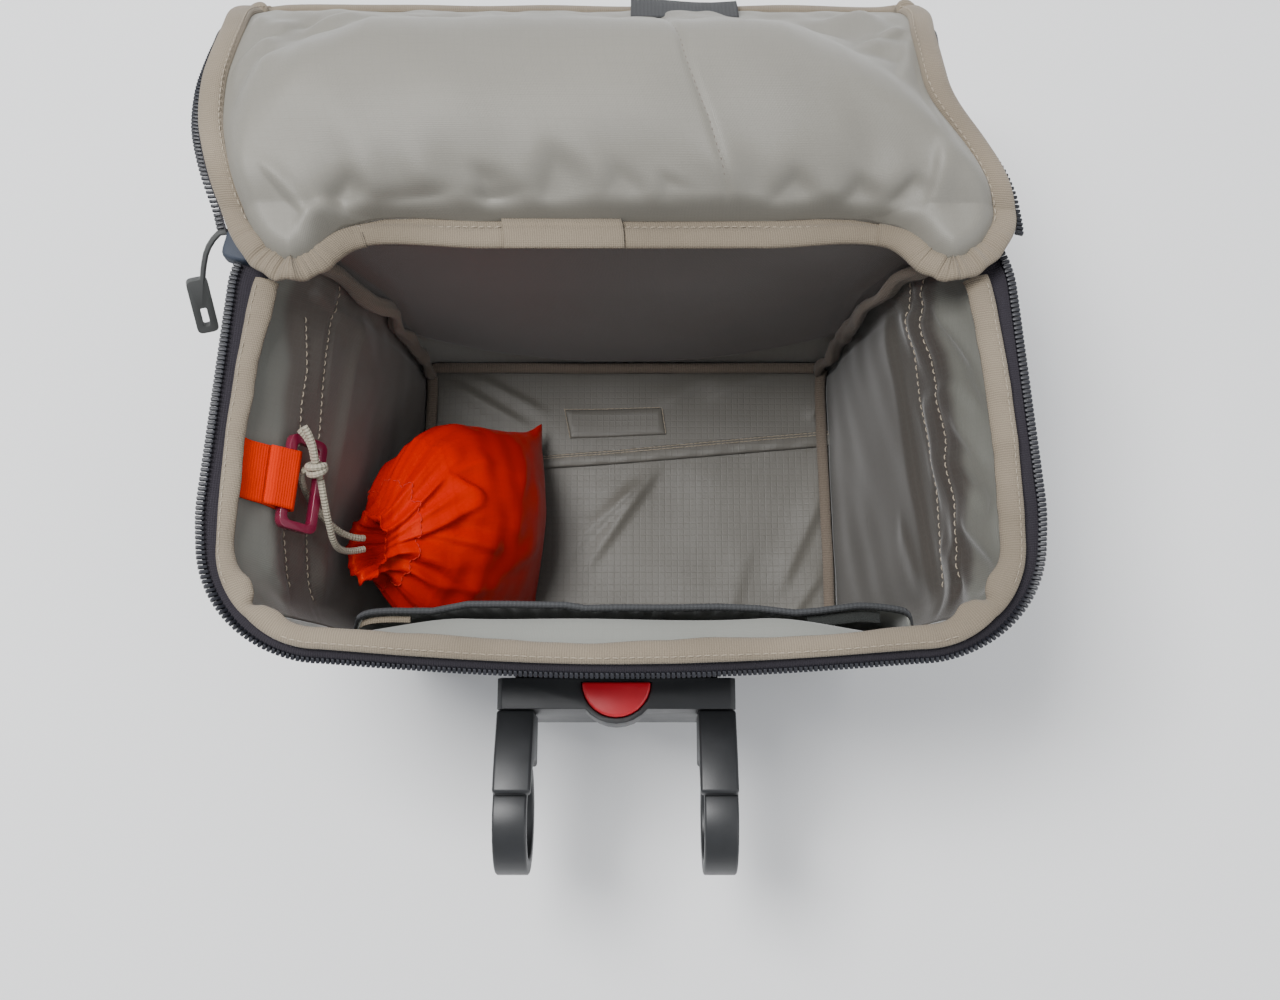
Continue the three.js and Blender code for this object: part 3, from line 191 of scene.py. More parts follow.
def level_at(z):
    return (raw_level(z - 4) + raw_level(z) + raw_level(z + 4)) / 3


def towards(start, end, distance):
    way = end - start
    return start + way / np.linalg.norm(way, axis=-1, keepdims=True) * distance[..., None]


def outline(turns, z):
    half_near, half_far, near, far, corner, bow = level_at(z)
    corners = np.array([(-half_far, far), (-half_near, near), (half_near, near), (half_far, far)])
    radii = corner * np.array([FAR_CORNER_SHARE, 1, 1, FAR_CORNER_SHARE])
    place = np.mod(turns, 4)
    whole = np.round(place)
    at = whole.astype(int) % 4
    start = towards(corners[at], corners[(at + 3) % 4], radii[at])
    end = towards(corners[at], corners[(at + 1) % 4], radii[at])
    share = ((place - whole + CORNER_SHARE) / (2 * CORNER_SHARE))[:, None]
    first = start + (corners[at] - start) * ARC_HANDLE
    second = end + (corners[at] - end) * ARC_HANDLE
    rest = 1 - share
    arc = rest**3 * start + 3 * rest**2 * share * first + 3 * rest * share**2 * second + share**3 * end
    side = np.floor(place).astype(int) % 4
    after = (side + 1) % 4
    begin = towards(corners[side], corners[after], radii[side])
    stop = towards(corners[after], corners[side], radii[after])
    share = ((place - np.floor(place) - CORNER_SHARE) / (1 - 2 * CORNER_SHARE))[:, None]
    line = begin + (stop - begin) * share
    line[:, 1] -= np.where(side == 1, bow * np.sin(math.pi * share[:, 0]), 0)
    on_arc = (np.abs(place - whole) <= CORNER_SHARE)[:, None]
    return np.where(on_arc, arc, line)


def wall_row(turns, z, inset):
    """Points round the wall at one height, set in from its outer face."""
    turns = np.asarray(turns, float)
    way = outline(turns + 0.01, z) - outline(turns - 0.01, z)
    way /= np.linalg.norm(way, axis=1, keepdims=True)
    flat = outline(turns, z)
    inset = np.broadcast_to(inset, turns.shape)
    height = np.full(turns.shape, float(z))
    return np.stack([flat[:, 0] - way[:, 1] * inset, flat[:, 1] + way[:, 0] * inset, height], axis=1)


def wall_point(turn, z, inset):
    return wall_row([turn], z, inset)[0]


def turn_at(value, side, axis):
    """The turn on one side of the rim where X or Y has a value."""
    turns = np.linspace(side, side + 1, 401)
    return float(turns[np.argmin(np.abs(outline(turns, TUB_HEIGHT)[:, axis] - value))])


def slack_out(turns, z):
    """How far the cloth near the rim sags outwards over the zip's tape, most at both sides."""
    across = np.sin(math.pi * np.mod(turns, 1)) ** 0.8
    on_side = np.floor(np.mod(turns, 4)) % 2 == 0
    return np.where(on_side, RIM_SLACK * across, 0) * smooth_step(138, TUB_HEIGHT, z)


def padding(turns, z):
    share = np.abs(np.mod(turns, 2) - 0.5)
    across = 1 - smooth_step(0.27, 0.42, share)
    up = 1 - smooth_step(108, 116, z)
    on_side = np.floor(np.mod(turns, 4)) % 2 == 0
    return np.where(on_side, 2.4 * across * up, 0)


def lining_front(turns, z):
    return LINING_BACK + LINING + padding(np.asarray(turns, float), z)


def front_at(turn, z):
    return float(lining_front([turn], z)[0])


# The lid
def lid_points(x, along, lift, ease=LID_EASE):
    x, along, lift = (np.asarray(value, float) for value in (x, along, lift))
    radius = LID_LENGTH / math.radians(LID_TURN)
    rise = math.radians(LID_RISE)
    raw = along * (1 - LID_SKEW * x / HALF_LID) - HINGE_BAND
    past = np.maximum(0, raw)
    heading = rise - past / radius
    outward = smooth_step(*TIP_FROM, np.abs(x) / HALF_LID)
    tip = TIP_LIFT * outward * (1 - smooth_step(1.5 * HINGE_BAND, 5 * HINGE_BAND, along))
    reach = np.where(past > 0, HINGE_BAND + radius * (math.sin(rise) - np.sin(heading)), along)
    height = np.where(past > 0, radius * (np.cos(heading) - math.cos(rise)), 0)
    turned = heading * smooth_step(*ease, raw)
    lean = LID_LEAN * smooth_step(0, LID_LEAN_SHARE * LID_TOTAL, along)
    return np.stack([
        x - lean,
        HINGE_NEAR_Y + reach - np.sin(turned) * lift,
        LID_Z + tip + height + np.cos(turned) * lift,
    ], axis=-1)


EDGE_POINTS = np.array(
    [(side * HALF_LID, along * LID_TOTAL) for side, along in LID_EDGE]
    + [(-side * HALF_LID, along * LID_TOTAL) for side, along in LID_EDGE[-2:0:-1]]
)


def edge_at(row):
    """A point on the lid's edge, in rows of its table."""
    count = len(EDGE_POINTS)
    place = row % EDGE_ROWS
    first = int(math.floor(place)) % count
    share = place - math.floor(place)
    near = [EDGE_POINTS[(first + step) % count] for step in (-1, 0, 1, 2)]
    gaps = [max(1e-6, np.linalg.norm(near[k + 1] - near[k]) ** 0.5) for k in range(3)]
    leave = (near[1] - near[0]) / gaps[0] - (near[2] - near[0]) / (gaps[0] + gaps[1])
    leave = (leave + (near[2] - near[1]) / gaps[1]) * gaps[1]
    arrive = (near[2] - near[1]) / gaps[1] - (near[3] - near[1]) / (gaps[1] + gaps[2])
    arrive = (arrive + (near[3] - near[2]) / gaps[2]) * gaps[1]
    square = -3 * near[1] + 3 * near[2] - 2 * leave - arrive
    cube = 2 * near[1] - 2 * near[2] + leave + arrive
    return near[1] + leave * share + square * share**2 + cube * share**3


def lid_edge(row, inset):
    way = unit(edge_at(row + 0.06) - edge_at(row - 0.06))
    return edge_at(row) + np.array([-way[1], way[0]]) * inset


def lid_depth(along):
    return mix(LID_DEPTH_HINGE, LID_DEPTH, smooth_step(HINGE_BAND, 5 * HINGE_BAND, along))


# Meshes
def new_piece(name, points, faces):
    mesh = bpy.data.meshes.new(name)
    mesh.from_pydata((points * MM).tolist(), [], faces)
    mesh.polygons.foreach_set("use_smooth", np.ones(len(mesh.polygons), bool))
    piece = bpy.data.objects.new(name, mesh)
    bpy.context.scene.collection.objects.link(piece)
    return piece


def surface(name, grid, uv, wrap_rows=False, wrap_columns=False, caps=False):
    """A skin over a grid of points. Each of its two ways may close on itself."""
    rows, columns = grid.shape[:2]
    row_count = rows if wrap_rows else rows - 1
    column_count = columns if wrap_columns else columns - 1
    i, j = np.meshgrid(np.arange(row_count), np.arange(column_count), indexing="ij")
    quads = []
    corners = []
    for di, dj in ((0, 0), (1, 0), (1, 1), (0, 1)):
        quads.append((((i + di) % rows) * columns + (j + dj) % columns).ravel())
        corners.append(uv[i + di, j + dj].reshape(-1, 2))
    faces = np.stack(quads, axis=1).tolist()
    loops = np.stack(corners, axis=1).reshape(-1, 2)
    if caps:
        ends = [list(range(columns)), list(range((rows - 1) * columns, rows * columns))[::-1]]
        faces += ends
        ends = [np.tile(uv[end, 0], (columns, 1)) for end in (0, rows - 1)]
        loops = np.concatenate([loops, *ends])
    piece = new_piece(name, grid.reshape(-1, 3), faces)
    layer = piece.data.uv_layers.new(name="cloth")
    layer.data.foreach_set("uv", loops.astype(np.float32).ravel())
    return piece


def only(piece):
    bpy.ops.object.select_all(action="DESELECT")
    piece.select_set(True)
    bpy.context.view_layer.objects.active = piece


def apply_modifier(piece, kind, **settings):
    only(piece)
    modifier = piece.modifiers.new(kind.lower(), kind)
    for key, value in settings.items():
        setattr(modifier, key, value)
    bpy.ops.object.modifier_apply(modifier=modifier.name)


def edit(piece, *steps):
    """Runs edit mode steps on the whole piece."""
    only(piece)
    bpy.ops.object.mode_set(mode="EDIT")
    bpy.ops.mesh.select_all(action="SELECT")
    for step in steps:
        step()
    bpy.ops.object.mode_set(mode="OBJECT")


def close_up(piece):
    edit(piece, lambda: bpy.ops.mesh.remove_doubles(threshold=1e-6), bpy.ops.mesh.normals_make_consistent)
    return piece


def thicken(piece, thickness):
    apply_modifier(piece, "SOLIDIFY", thickness=thickness * MM, offset=-1, use_even_offset=False)
    return close_up(piece)


def grid_of(rows, columns, place):
    return np.array([[place(row, column) for column in columns] for row in rows])


def unrolled(rows, columns):
    """Places on the cloth, for a grid with its rows and columns that far along."""
    return np.stack(np.meshgrid(rows, columns, indexing="ij"), axis=-1) * MM


def lengths(points):
    """How far each point lies along its line."""
    steps = np.linalg.norm(np.diff(points, axis=0), axis=1)
    return np.concatenate([[0], np.cumsum(steps)])


def point_along(place, run, points):
    """The point at a distance along a line whose points lie as far as the run says."""
    return np.array([np.interp(place, run, points[:, axis]) for axis in range(points.shape[1])])


def strip(name, rings, closed=False):
    """A closed tape, tube or roll through rings of points, with its length along U."""
    rings = np.array(rings, float)
    middle = rings.mean(axis=1)
    run = lengths(np.vstack([middle, middle[:1]]) if closed else middle)
    around = lengths(np.vstack([rings[0], rings[0][:1]]))
    uv = np.zeros((len(run), len(around), 2))
    uv[:, :, 0] = run[:, None] * MM
    uv[:, :, 1] = around[None, :] * MM
    piece = surface(name, rings, uv, wrap_rows=closed, wrap_columns=True, caps=not closed)
    return close_up(piece)


def tube_rings(points, radius, sides=12):
    """Rings round a path, turned as little as the path allows."""
    points = np.array(points, float)
    radius = np.broadcast_to(radius, len(points))
    ways = np.gradient(points, axis=0)
    ways /= np.linalg.norm(ways, axis=1, keepdims=True)
    across = np.cross(ways[0], (0.3, 0.2, 0.93))
    rings = []
    for point, way, size in zip(points, ways, radius):
        across = across - way * np.dot(across, way)
        across /= np.linalg.norm(across)
        other = np.cross(way, across)
        angles = np.arange(sides) * TURN / sides
        rings.append(point + size * (np.outer(np.cos(angles), across) + np.outer(np.sin(angles), other)))
    return rings


def smooth_path(points, per_span):
    """A curve through the points, as the solid tubes follow."""
    points = np.array(points, float)
    padded = np.vstack([2 * points[0] - points[1], points, 2 * points[-1] - points[-2]])
    out = []
    for k in range(len(points) - 1):
        a, b, c, d = padded[k:k + 4]
        for step in range(per_span):
            t = step / per_span
            out.append(0.5 * (2 * b + (c - a) * t + (2 * a - 5 * b + 4 * c - d) * t**2
                              + (3 * b - a - 3 * c + d) * t**3))
    return np.array(out + [points[-1]])


def placed_copies(name, template, frames):
    """Many copies of one small mesh in one piece. Each frame is a place and three axes."""
    shape = np.array([vertex.co for vertex in template.data.vertices])
    faces = [list(polygon.vertices) for polygon in template.data.polygons]
    points = []
    all_faces = []
    for place, x_axis, y_axis, z_axis in frames:
        base = len(points) * len(shape)
        points.append(np.asarray(place) + shape @ np.array([x_axis, y_axis, z_axis]))
        all_faces += [[base + corner for corner in face] for face in faces]
    piece = new_piece(name, np.concatenate(points), all_faces)
    only(piece)
    bpy.ops.object.shade_smooth_by_angle(angle=math.radians(40))
    return piece


def settle(piece):
    """Puts a piece's place into its mesh."""
    only(piece)
    bpy.ops.object.transform_apply(location=True, rotation=True, scale=True)
    return piece


# Materials
def colour(red, green, blue):
    """A colour given as on a screen, made linear."""
    def linear(value):
        share = value / 255
        return share / 12.92 if share <= 0.04045 else ((share + 0.055) / 1.055) ** 2.4
    return (linear(red), linear(green), linear(blue), 1)


def make_group(name, inputs, outputs):
    group = bpy.data.node_groups.new(name, "ShaderNodeTree")
    for label, kind, value in inputs:
        socket = group.interface.new_socket(label, in_out="INPUT", socket_type="NodeSocket" + kind)
        if value is not None:
            socket.default_value = value
    for label in outputs:
        group.interface.new_socket(label, in_out="OUTPUT", socket_type="NodeSocketFloat")
    return group, group.nodes.new("NodeGroupInput"), group.nodes.new("NodeGroupOutput")


def feed(tree, socket, value):
    if isinstance(value, bpy.types.NodeSocket):
        tree.links.new(value, socket)
    else:
        socket.default_value = value


def calc(tree, operation, first, second=0.0, clamp=False):
    node = tree.nodes.new("ShaderNodeMath")
    node.operation = operation
    node.use_clamp = clamp
    feed(tree, node.inputs[0], first)
    feed(tree, node.inputs[1], second)
    return node.outputs[0]


def blend_colours(tree, share, first, second):
    node = tree.nodes.new("ShaderNodeMix")
    node.data_type = "RGBA"
    feed(tree, node.inputs["Factor"], share)
    feed(tree, node.inputs["A"], first)
    feed(tree, node.inputs["B"], second)
    return node.outputs["Result"]


def noise_value(tree, vector, scale, detail=3.0, roughness=0.5):
    node = tree.nodes.new("ShaderNodeTexNoise")
    tree.links.new(vector, node.inputs["Vector"])
    feed(tree, node.inputs["Scale"], scale)
    node.inputs["Detail"].default_value = detail
    node.inputs["Roughness"].default_value = roughness
    return node.outputs["Fac"]


def split(tree, vector):
    node = tree.nodes.new("ShaderNodeSeparateXYZ")
    tree.links.new(vector, node.inputs[0])
    return node.outputs


def wave(tree, value, pitch):
    """A wave from 0 to 1 with one crest for each pitch."""
    turns = calc(tree, "DIVIDE", value, pitch)
    swing = calc(tree, "SINE", calc(tree, "MULTIPLY", turns, TURN))
    return calc(tree, "ADD", calc(tree, "MULTIPLY", swing, 0.5), 0.5)


def make_weave_group():
    group, given, result = make_group(
        "plain_weave",
        [("Vector", "Vector", None), ("Thread", "Float", 0.0005), ("Rip pitch", "Float", 0.0035),
         ("Rip depth", "Float", 0.5)],
        ["Height", "Rip"],
    )
    u, v, _ = split(group, given.outputs["Vector"])
    warp = wave(group, u, given.outputs["Thread"])
    weft = wave(group, v, given.outputs["Thread"])
    cross = calc(group, "MULTIPLY", warp, weft)
    lines = []
    for value in (u, v):
        line = wave(group, value, given.outputs["Rip pitch"])
        lines.append(calc(group, "POWER", line, 14))
    rip = calc(group, "MAXIMUM", *lines)
    deep = calc(group, "MULTIPLY", rip, given.outputs["Rip depth"])
    group.links.new(calc(group, "ADD", cross, deep), result.inputs["Height"])
    group.links.new(rip, result.inputs["Rip"])
    return group


def make_rib_group():
    group, given, result = make_group(
        "ribbed_tape",
        [("Vector", "Vector", None), ("Rib", "Float", 0.00115), ("Thread", "Float", 0.0006)],
        ["Height", "Groove"],
    )
    u, v, _ = split(group, given.outputs["Vector"])
    shift = noise_value(group, given.outputs["Vector"], 260, 1)
    bent = calc(group, "ADD", u, calc(group, "MULTIPLY", shift, 0.0004))
    rib = wave(group, bent, given.outputs["Rib"])
    thread = wave(group, v, given.outputs["Thread"])
    height = calc(group, "ADD", rib, calc(group, "MULTIPLY", thread, 0.6))
    rumple = noise_value(group, given.outputs["Vector"], 150, 3, 0.6)
    height = calc(group, "ADD", height, calc(group, "MULTIPLY", rumple, 3.2))
    group.links.new(height, result.inputs["Height"])
    # Groove marks the hollows between the ribs, where the tapes get painted shade
    group.links.new(calc(group, "SUBTRACT", 1.0, calc(group, "POWER", rib, 0.6)), result.inputs["Groove"])
    return group


def make_tone_group():
    """Cloudy handling marks: a broad cloud and a fine one."""
    group, given, result = make_group("uneven_tone", [("Vector", "Vector", None)], ["Broad", "Fine"])
    group.links.new(noise_value(group, given.outputs["Vector"], 14, 3), result.inputs["Broad"])
    group.links.new(noise_value(group, given.outputs["Vector"], 900, 2), result.inputs["Fine"])
    return group


def make_grain_group():
    group, given, result = make_group("moulded_grain", [("Vector", "Vector", None)], ["Height", "Scuff"])
    fine = noise_value(group, given.outputs["Vector"], 2400, 2)
    broad = noise_value(group, given.outputs["Vector"], 60, 4, 0.7)
    group.links.new(fine, result.inputs["Height"])
    group.links.new(broad, result.inputs["Scuff"])
    return group


WEAVE, RIBS, TONE, GRAIN = make_weave_group(), make_rib_group(), make_tone_group(), make_grain_group()


def use_group(tree, group, vector, **values):
    node = tree.nodes.new("ShaderNodeGroup")
    node.node_tree = group
    tree.links.new(vector, node.inputs["Vector"])
    for label, value in values.items():
        node.inputs[label.replace("_", " ")].default_value = value
    return node.outputs


def start_material(name, **sockets):
    """A material with its shader's even values set, and the places that patterns read."""
    material = bpy.data.materials.new(name)
    material.use_nodes = True
    tree = material.node_tree
    shader = tree.nodes["Principled BSDF"]
    for label, value in sockets.items():
        shader.inputs[label.replace("_", " ")].default_value = value
    place = tree.nodes.new("ShaderNodeTexCoord")
    cloth = tree.nodes.new("ShaderNodeUVMap")
    cloth.uv_map = "cloth"
    return material, tree, shader, place.outputs["Object"], cloth.outputs["UV"]


def bump(tree, shader, height, distance, strength=1.0, under=None):
    node = tree.nodes.new("ShaderNodeBump")
    node.inputs["Strength"].default_value = strength
    node.inputs["Distance"].default_value = distance
    tree.links.new(height, node.inputs["Height"])
    if under is not None:
        tree.links.new(under, node.inputs["Normal"])
    tree.links.new(node.outputs["Normal"], shader.inputs["Normal"])
    return node.outputs["Normal"]


def make_nylon(name, light, dark, thread=0.00055, rip_pitch=0.0036, rip_depth=0.5, rough=0.5, sheen=0.3,
               tone=None, weave_depth=0.00006, **sockets):
    sockets = {"Sheen_Weight": sheen, "Sheen_Roughness": 0.45, **sockets}
    material, tree, shader, place, cloth = start_material(name, **sockets)
    weave = use_group(tree, WEAVE, cloth, Thread=thread, Rip_pitch=rip_pitch, Rip_depth=rip_depth)
    marks = use_group(tree, TONE, place)
    base = blend_colours(tree, marks["Broad"], dark, light)
    if tone is not None:
        zone = tree.nodes.new("ShaderNodeAttribute")
        zone.attribute_name = "tone"
        base = blend_colours(tree, zone.outputs["Fac"], base, tone)
    shaded = calc(tree, "MULTIPLY", weave["Rip"], 0.1 + 0.12 * rip_depth)
    base = blend_colours(tree, shaded, base, dark)
    grainy = calc(tree, "MULTIPLY", marks["Fine"], 0.16)
    base = blend_colours(tree, grainy, base, dark)
    tree.links.new(base, shader.inputs["Base Color"])
    uneven = calc(tree, "ADD", calc(tree, "MULTIPLY", marks["Broad"], 0.16), rough - 0.08)
    tree.links.new(uneven, shader.inputs["Roughness"])
    bump(tree, shader, weave["Height"], weave_depth)
    return material


def make_tape(name, light, dark, rib=0.0009, rough=0.88, depth=0.00015, thread=0.0007, sheen=0.12, **sockets):
    sockets = {"Sheen_Weight": sheen, "Sheen_Roughness": 0.5, **sockets}
    material, tree, shader, place, cloth = start_material(name, **sockets)
    ribs = use_group(tree, RIBS, cloth, Rib=rib, Thread=thread)
    marks = use_group(tree, TONE, place)
    base = blend_colours(tree, marks["Broad"], dark, light)
    # The grooves between the ribs are painted darker: painted shade
    base = blend_colours(tree, calc(tree, "MULTIPLY", ribs["Groove"], 0.42), base, dark)
    tree.links.new(base, shader.inputs["Base Color"])
    tree.links.new(calc(tree, "ADD", calc(tree, "MULTIPLY", marks["Fine"], 0.1), rough - 0.05),
                   shader.inputs["Roughness"])
    bump(tree, shader, ribs["Height"], depth)
    return material


def make_plastic(name, light, dark, rough=0.5, depth=0.00003, **sockets):
    material, tree, shader, place, _ = start_material(name, **sockets)
    grain = use_group(tree, GRAIN, place)
    tree.links.new(blend_colours(tree, grain["Scuff"], dark, light), shader.inputs["Base Color"])
    tree.links.new(calc(tree, "ADD", calc(tree, "MULTIPLY", grain["Scuff"], 0.2), rough - 0.1),
                   shader.inputs["Roughness"])
    bump(tree, shader, grain["Height"], depth)
    return material


LID_NYLON = make_nylon("lid_nylon", colour(129, 126, 117), colour(110, 107, 99), sheen=0.2, rip_depth=0.2)
# Its tone colour is the brown panel between the seams, and the same colour below the lower seam is painted
# shade
WALL_NYLON = make_nylon("wall_nylon", colour(112, 112, 105), colour(92, 92, 86), tone=colour(75, 67, 61),
                        rip_depth=0.2)
# A copy of the wall's nylon, a little darker, with a much darker tone colour for its lower part: painted
# shade on the right wall
SHADED_RIGHT_NYLON = make_nylon("right_wall_nylon_painted_shade", colour(106, 106, 99), colour(84, 84, 78),
                         tone=colour(54, 49, 45), rip_depth=0.2, rough=0.42)
FAR_NYLON = make_nylon("far_wall_nylon", colour(84, 76, 71), colour(70, 63, 59), tone=colour(128, 127, 120),
                       rip_depth=0.1)
FLOOR_NYLON = make_nylon("floor_ripstop", colour(103, 100, 93), colour(76, 73, 67), rip_pitch=0.0031,
                         rip_depth=0.9, rough=0.45)
POCKET_NYLON = make_nylon("pocket_nylon", colour(142, 143, 137), colour(120, 121, 115), rip_depth=0.1)
OUTER_CLOTH = make_nylon("outer_cloth", colour(52, 51, 57), colour(34, 33, 38), thread=0.0011,
                         rip_pitch=0.02, rip_depth=0.0, rough=0.75, sheen=0.03, weave_depth=0.00025,
                         Specular_IOR_Level=0.25)
RED_GLEAM = (1.0, 0.2, 0.05, 1.0)
POUCH_NYLON = make_nylon("pouch_nylon", colour(212, 22, 0), colour(150, 1, 0), thread=0.0004,
                         rip_pitch=0.0028, rip_depth=0.35, rough=0.36, sheen=0.0, weave_depth=0.00003,
                         Specular_Tint=RED_GLEAM)
BINDING = make_tape("binding_tape", colour(157, 144, 125), colour(92, 82, 68))
# The binding's own tape, painted darker: painted shade on the corner rolls and the floor's tape, low in the
# tub
SHADED_SEAM_TAPE = make_tape("seam_tape_painted_shade", colour(122, 110, 97), colour(78, 69, 60), rib=0.0012)
ZIP_CLOTH = make_tape("zip_cloth", colour(46, 41, 50), colour(24, 21, 28), thread=0.0009, sheen=0.03)
ELASTIC = make_tape("elastic_web", colour(72, 73, 75), colour(42, 43, 45), rib=0.0016, thread=0.0008,
                    sheen=0.0)
STRAP_WEB = make_tape("strap_web", colour(226, 50, 6), colour(160, 18, 1), rib=0.0009, depth=0.0001,
                      sheen=0.0, Specular_Tint=RED_GLEAM)
THREAD = make_tape("sewing_thread", colour(176, 164, 146), colour(120, 109, 94), rib=0.0005)
CORD_BRAID = make_tape("cord_braid", colour(188, 180, 161), colour(122, 114, 97), rib=0.0013, depth=0.0003,
                       thread=0.0011)
HOOK_TAPE = make_plastic("hook_tape", colour(50, 52, 50), colour(26, 27, 26), rough=0.95, depth=0.0006)
LID_THREAD = make_tape("lid_thread", colour(122, 112, 103), colour(80, 72, 65), rib=0.0005)
POUCH_THREAD = make_tape("pouch_thread", colour(214, 40, 20), colour(130, 6, 2), rib=0.0005, sheen=0.0)
TEETH = make_plastic("zip_teeth", colour(34, 35, 43), colour(17, 18, 23), rough=0.45)
SLIDER_PAINT = make_plastic("slider_paint", colour(56, 64, 78), colour(34, 40, 51), rough=0.65, depth=0.0002)
GRIP_RUBBER = make_plastic("grip_rubber", colour(74, 75, 74), colour(52, 53, 52), rough=0.6)
BRACKET = make_plastic("bracket_plastic", colour(40, 41, 43), colour(28, 29, 30), rough=0.42)
BUTTON = make_plastic("button_plastic", colour(214, 26, 44), colour(186, 16, 32), rough=0.36)
HOOK_PLASTIC = make_plastic("hook_plastic", colour(134, 26, 62), colour(104, 14, 42), rough=0.25,
                            Transmission_Weight=0.25, Coat_Weight=0.4)


def dress(piece, material, body="bag", replaces=()):
    piece.data.materials.clear()
    piece.data.materials.append(material)
    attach(piece, body)
    if replaces:
        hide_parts(*replaces)
    return piece


def set_tone(piece, values):
    layer = piece.data.attributes.new("tone", "FLOAT", "POINT")
    layer.data.foreach_set("value", np.asarray(values, np.float32))


# Camera, floor and lamps
CAMERA_PLACE, CAMERA_TILT, CAMERA_LENS, CAMERA_SENSOR = (0.007, -0.1701, 0.654), 15, 37.97, 36
camera = bpy.data.objects.new("camera", bpy.data.cameras.new("camera"))
camera.location = CAMERA_PLACE
camera.rotation_euler = (math.radians(CAMERA_TILT), 0, 0)
camera.data.lens = CAMERA_LENS
camera.data.sensor_width = CAMERA_SENSOR
bpy.context.scene.collection.objects.link(camera)
bpy.context.scene.camera = camera

bpy.ops.mesh.primitive_plane_add(size=14, location=(0, 0, 0))
ground = bpy.context.object
ground.name = "studio_floor"
ground_paint, ground_tree, ground_shader, ground_place, _ = start_material("studio_floor", Roughness=0.9)
ground_tone = noise_value(ground_tree, ground_place, 3, 2)
ground_tree.links.new(
    blend_colours(ground_tree, ground_tone, colour(238, 238, 238), colour(244, 244, 244)),
    ground_shader.inputs["Base Color"],
)
ground.data.materials.append(ground_paint)


def add_lamp(name, place, aim, size, power):
    lamp = bpy.data.objects.new(name, bpy.data.lights.new(name, "AREA"))
    lamp.data.shape = "SQUARE"
    lamp.data.size = size
    lamp.data.energy = power
    lamp.location = place
    lamp.rotation_euler = (Vector(aim) - Vector(place)).to_track_quat("-Z", "Y").to_euler()
    bpy.context.scene.collection.objects.link(lamp)


add_lamp("overhead", (-0.45, 0.15, 1.35), (0, 0, 0.1), 0.55, 24)
add_lamp("right_fill", (1.1, -0.7, 0.9), (0, 0, 0.1), 0.9, 6)
add_lamp("back_fill", (0.2, 1.3, 0.8), (0, 0.1, 0.1), 0.9, 6)
world = bpy.data.worlds.new("studio")
world.use_nodes = True
world.node_tree.nodes["Background"].inputs["Color"].default_value = (0.92, 0.95, 1.0, 1)
world.node_tree.nodes["Background"].inputs["Strength"].default_value = 0.7
bpy.context.scene.world = world


# Cords first: both strands run from the pouch's mouth to one knot
def make_cord(name, points):
    path = smooth_path(points, 4)
    piece = strip(name, tube_rings(path, CORD_DIAMETER / 2, 14))
    dress(piece, CORD_BRAID, replaces=[name])
    return piece, path


def make_knot():
    """Two turns of cord drawn tight round both strands, with two cut tails."""
    centre = np.array(KNOT)
    pull = unit(np.array(CORD_NEAR_PATH[-1]) - np.array(TAIL_PATHS[1][1]))
    side = unit(np.cross(pull, (0, 0, 1)))
    other = np.cross(pull, side)
    turns = np.linspace(0, 2.2 * TURN, 64)
    coil = [
        centre + pull * (1.5 * math.cos(t * 0.5 + 0.4))
        + (side * math.cos(t) + other * math.sin(t)) * 3.1
        for t in turns
    ]
    parts = [strip("cord_turns", tube_rings(coil, CORD_DIAMETER / 2, 12))]
    for number, tail in enumerate(TAIL_PATHS):
        path = smooth_path([centre, *tail], 6)
        parts.append(strip(f"cord_tail_{number}", tube_rings(path, CORD_DIAMETER / 2, 12)))
    for number, end in enumerate([CORD_NEAR_PATH[-1], CORD_FAR_PATH[-1]]):
        reach = np.array(end) + (centre - end) * 0.12
        path = smooth_path([reach, mix(reach, centre, 0.5), centre], 5)
        parts.append(strip(f"cord_root_{number}", tube_rings(path, CORD_DIAMETER / 2 * 0.98, 12)))
    only(parts[0])
    for part in parts:
        part.select_set(True)
    bpy.ops.object.join()
    knot = bpy.context.object
    knot.name = "pouch_cord_knot"
    return dress(knot, CORD_BRAID, replaces=["cord_knot"])


cord_knot = make_knot()
for cord_name, cord_points in (("cord_near", CORD_NEAR_PATH), ("cord_far", CORD_FAR_PATH)):
    strand, strand_path = make_cord(cord_name, cord_points)
    strand.name = "pouch_" + cord_name
    float(lengths(strand_path)[-1]) * MM


# Floor: ripstop over a pad, with a sewn-in strip and a sewn patch
FLOOR_HALF, FLOOR_NEAR, FLOOR_FAR, FLOOR_ROUND = 105.6, -75.0, 76.6, 12
# Each fold runs from x, y to x, y with a width and a height
FLOOR_FOLDS = [
    (16, 20, -20, -32, 6, 2.4), (7, 12, -18, -14, 4, 1.4), (48, 70, 16, 52, 7, 1.6),
    (78, 72, 40, 56, 6, 1.3), (-92, 66, -48, 40, 6, 2.4), (-80, 70, -40, 48, 5, 1.8),
    (102, 16, 74, -44, 7, 1.8), (98, -30, 76, -62, 6, 1.5), (103, 62, 92, 44, 4, 1.2),
    (-8, 2, -44, -46, 7, 1.6), (60, -20, 48, -62, 9, 0.9),
]
STRIP_FAR = [(-60, 23.5), (-36, 26.5), (0, 29.5), (40, 33.5), (80, 37.2), (104, 39.5)]
STRIP_NEAR = [(-60, 17.5), (-36, 19.5), (0, 22.0), (40, 25.5), (80, 29.0), (104, 31.2)]
PATCH = [(-31, 50), (18, 51), (20, 37), (-28, 35)]


def floor_relief(x, y):
    pouch = 1 - np.exp(-(((x + 62) / 46) ** 2 + ((y + 12) / 48) ** 2) ** 2)
    edge = smooth_step(0, 12, 105 - np.abs(x)) * smooth_step(0, 10, 76 - np.abs(y))
    swell = 0.35 * unrest(x, y, 38, 3)
    return (folds(x, y, FLOOR_FOLDS) + swell + 0.4) * edge * pouch


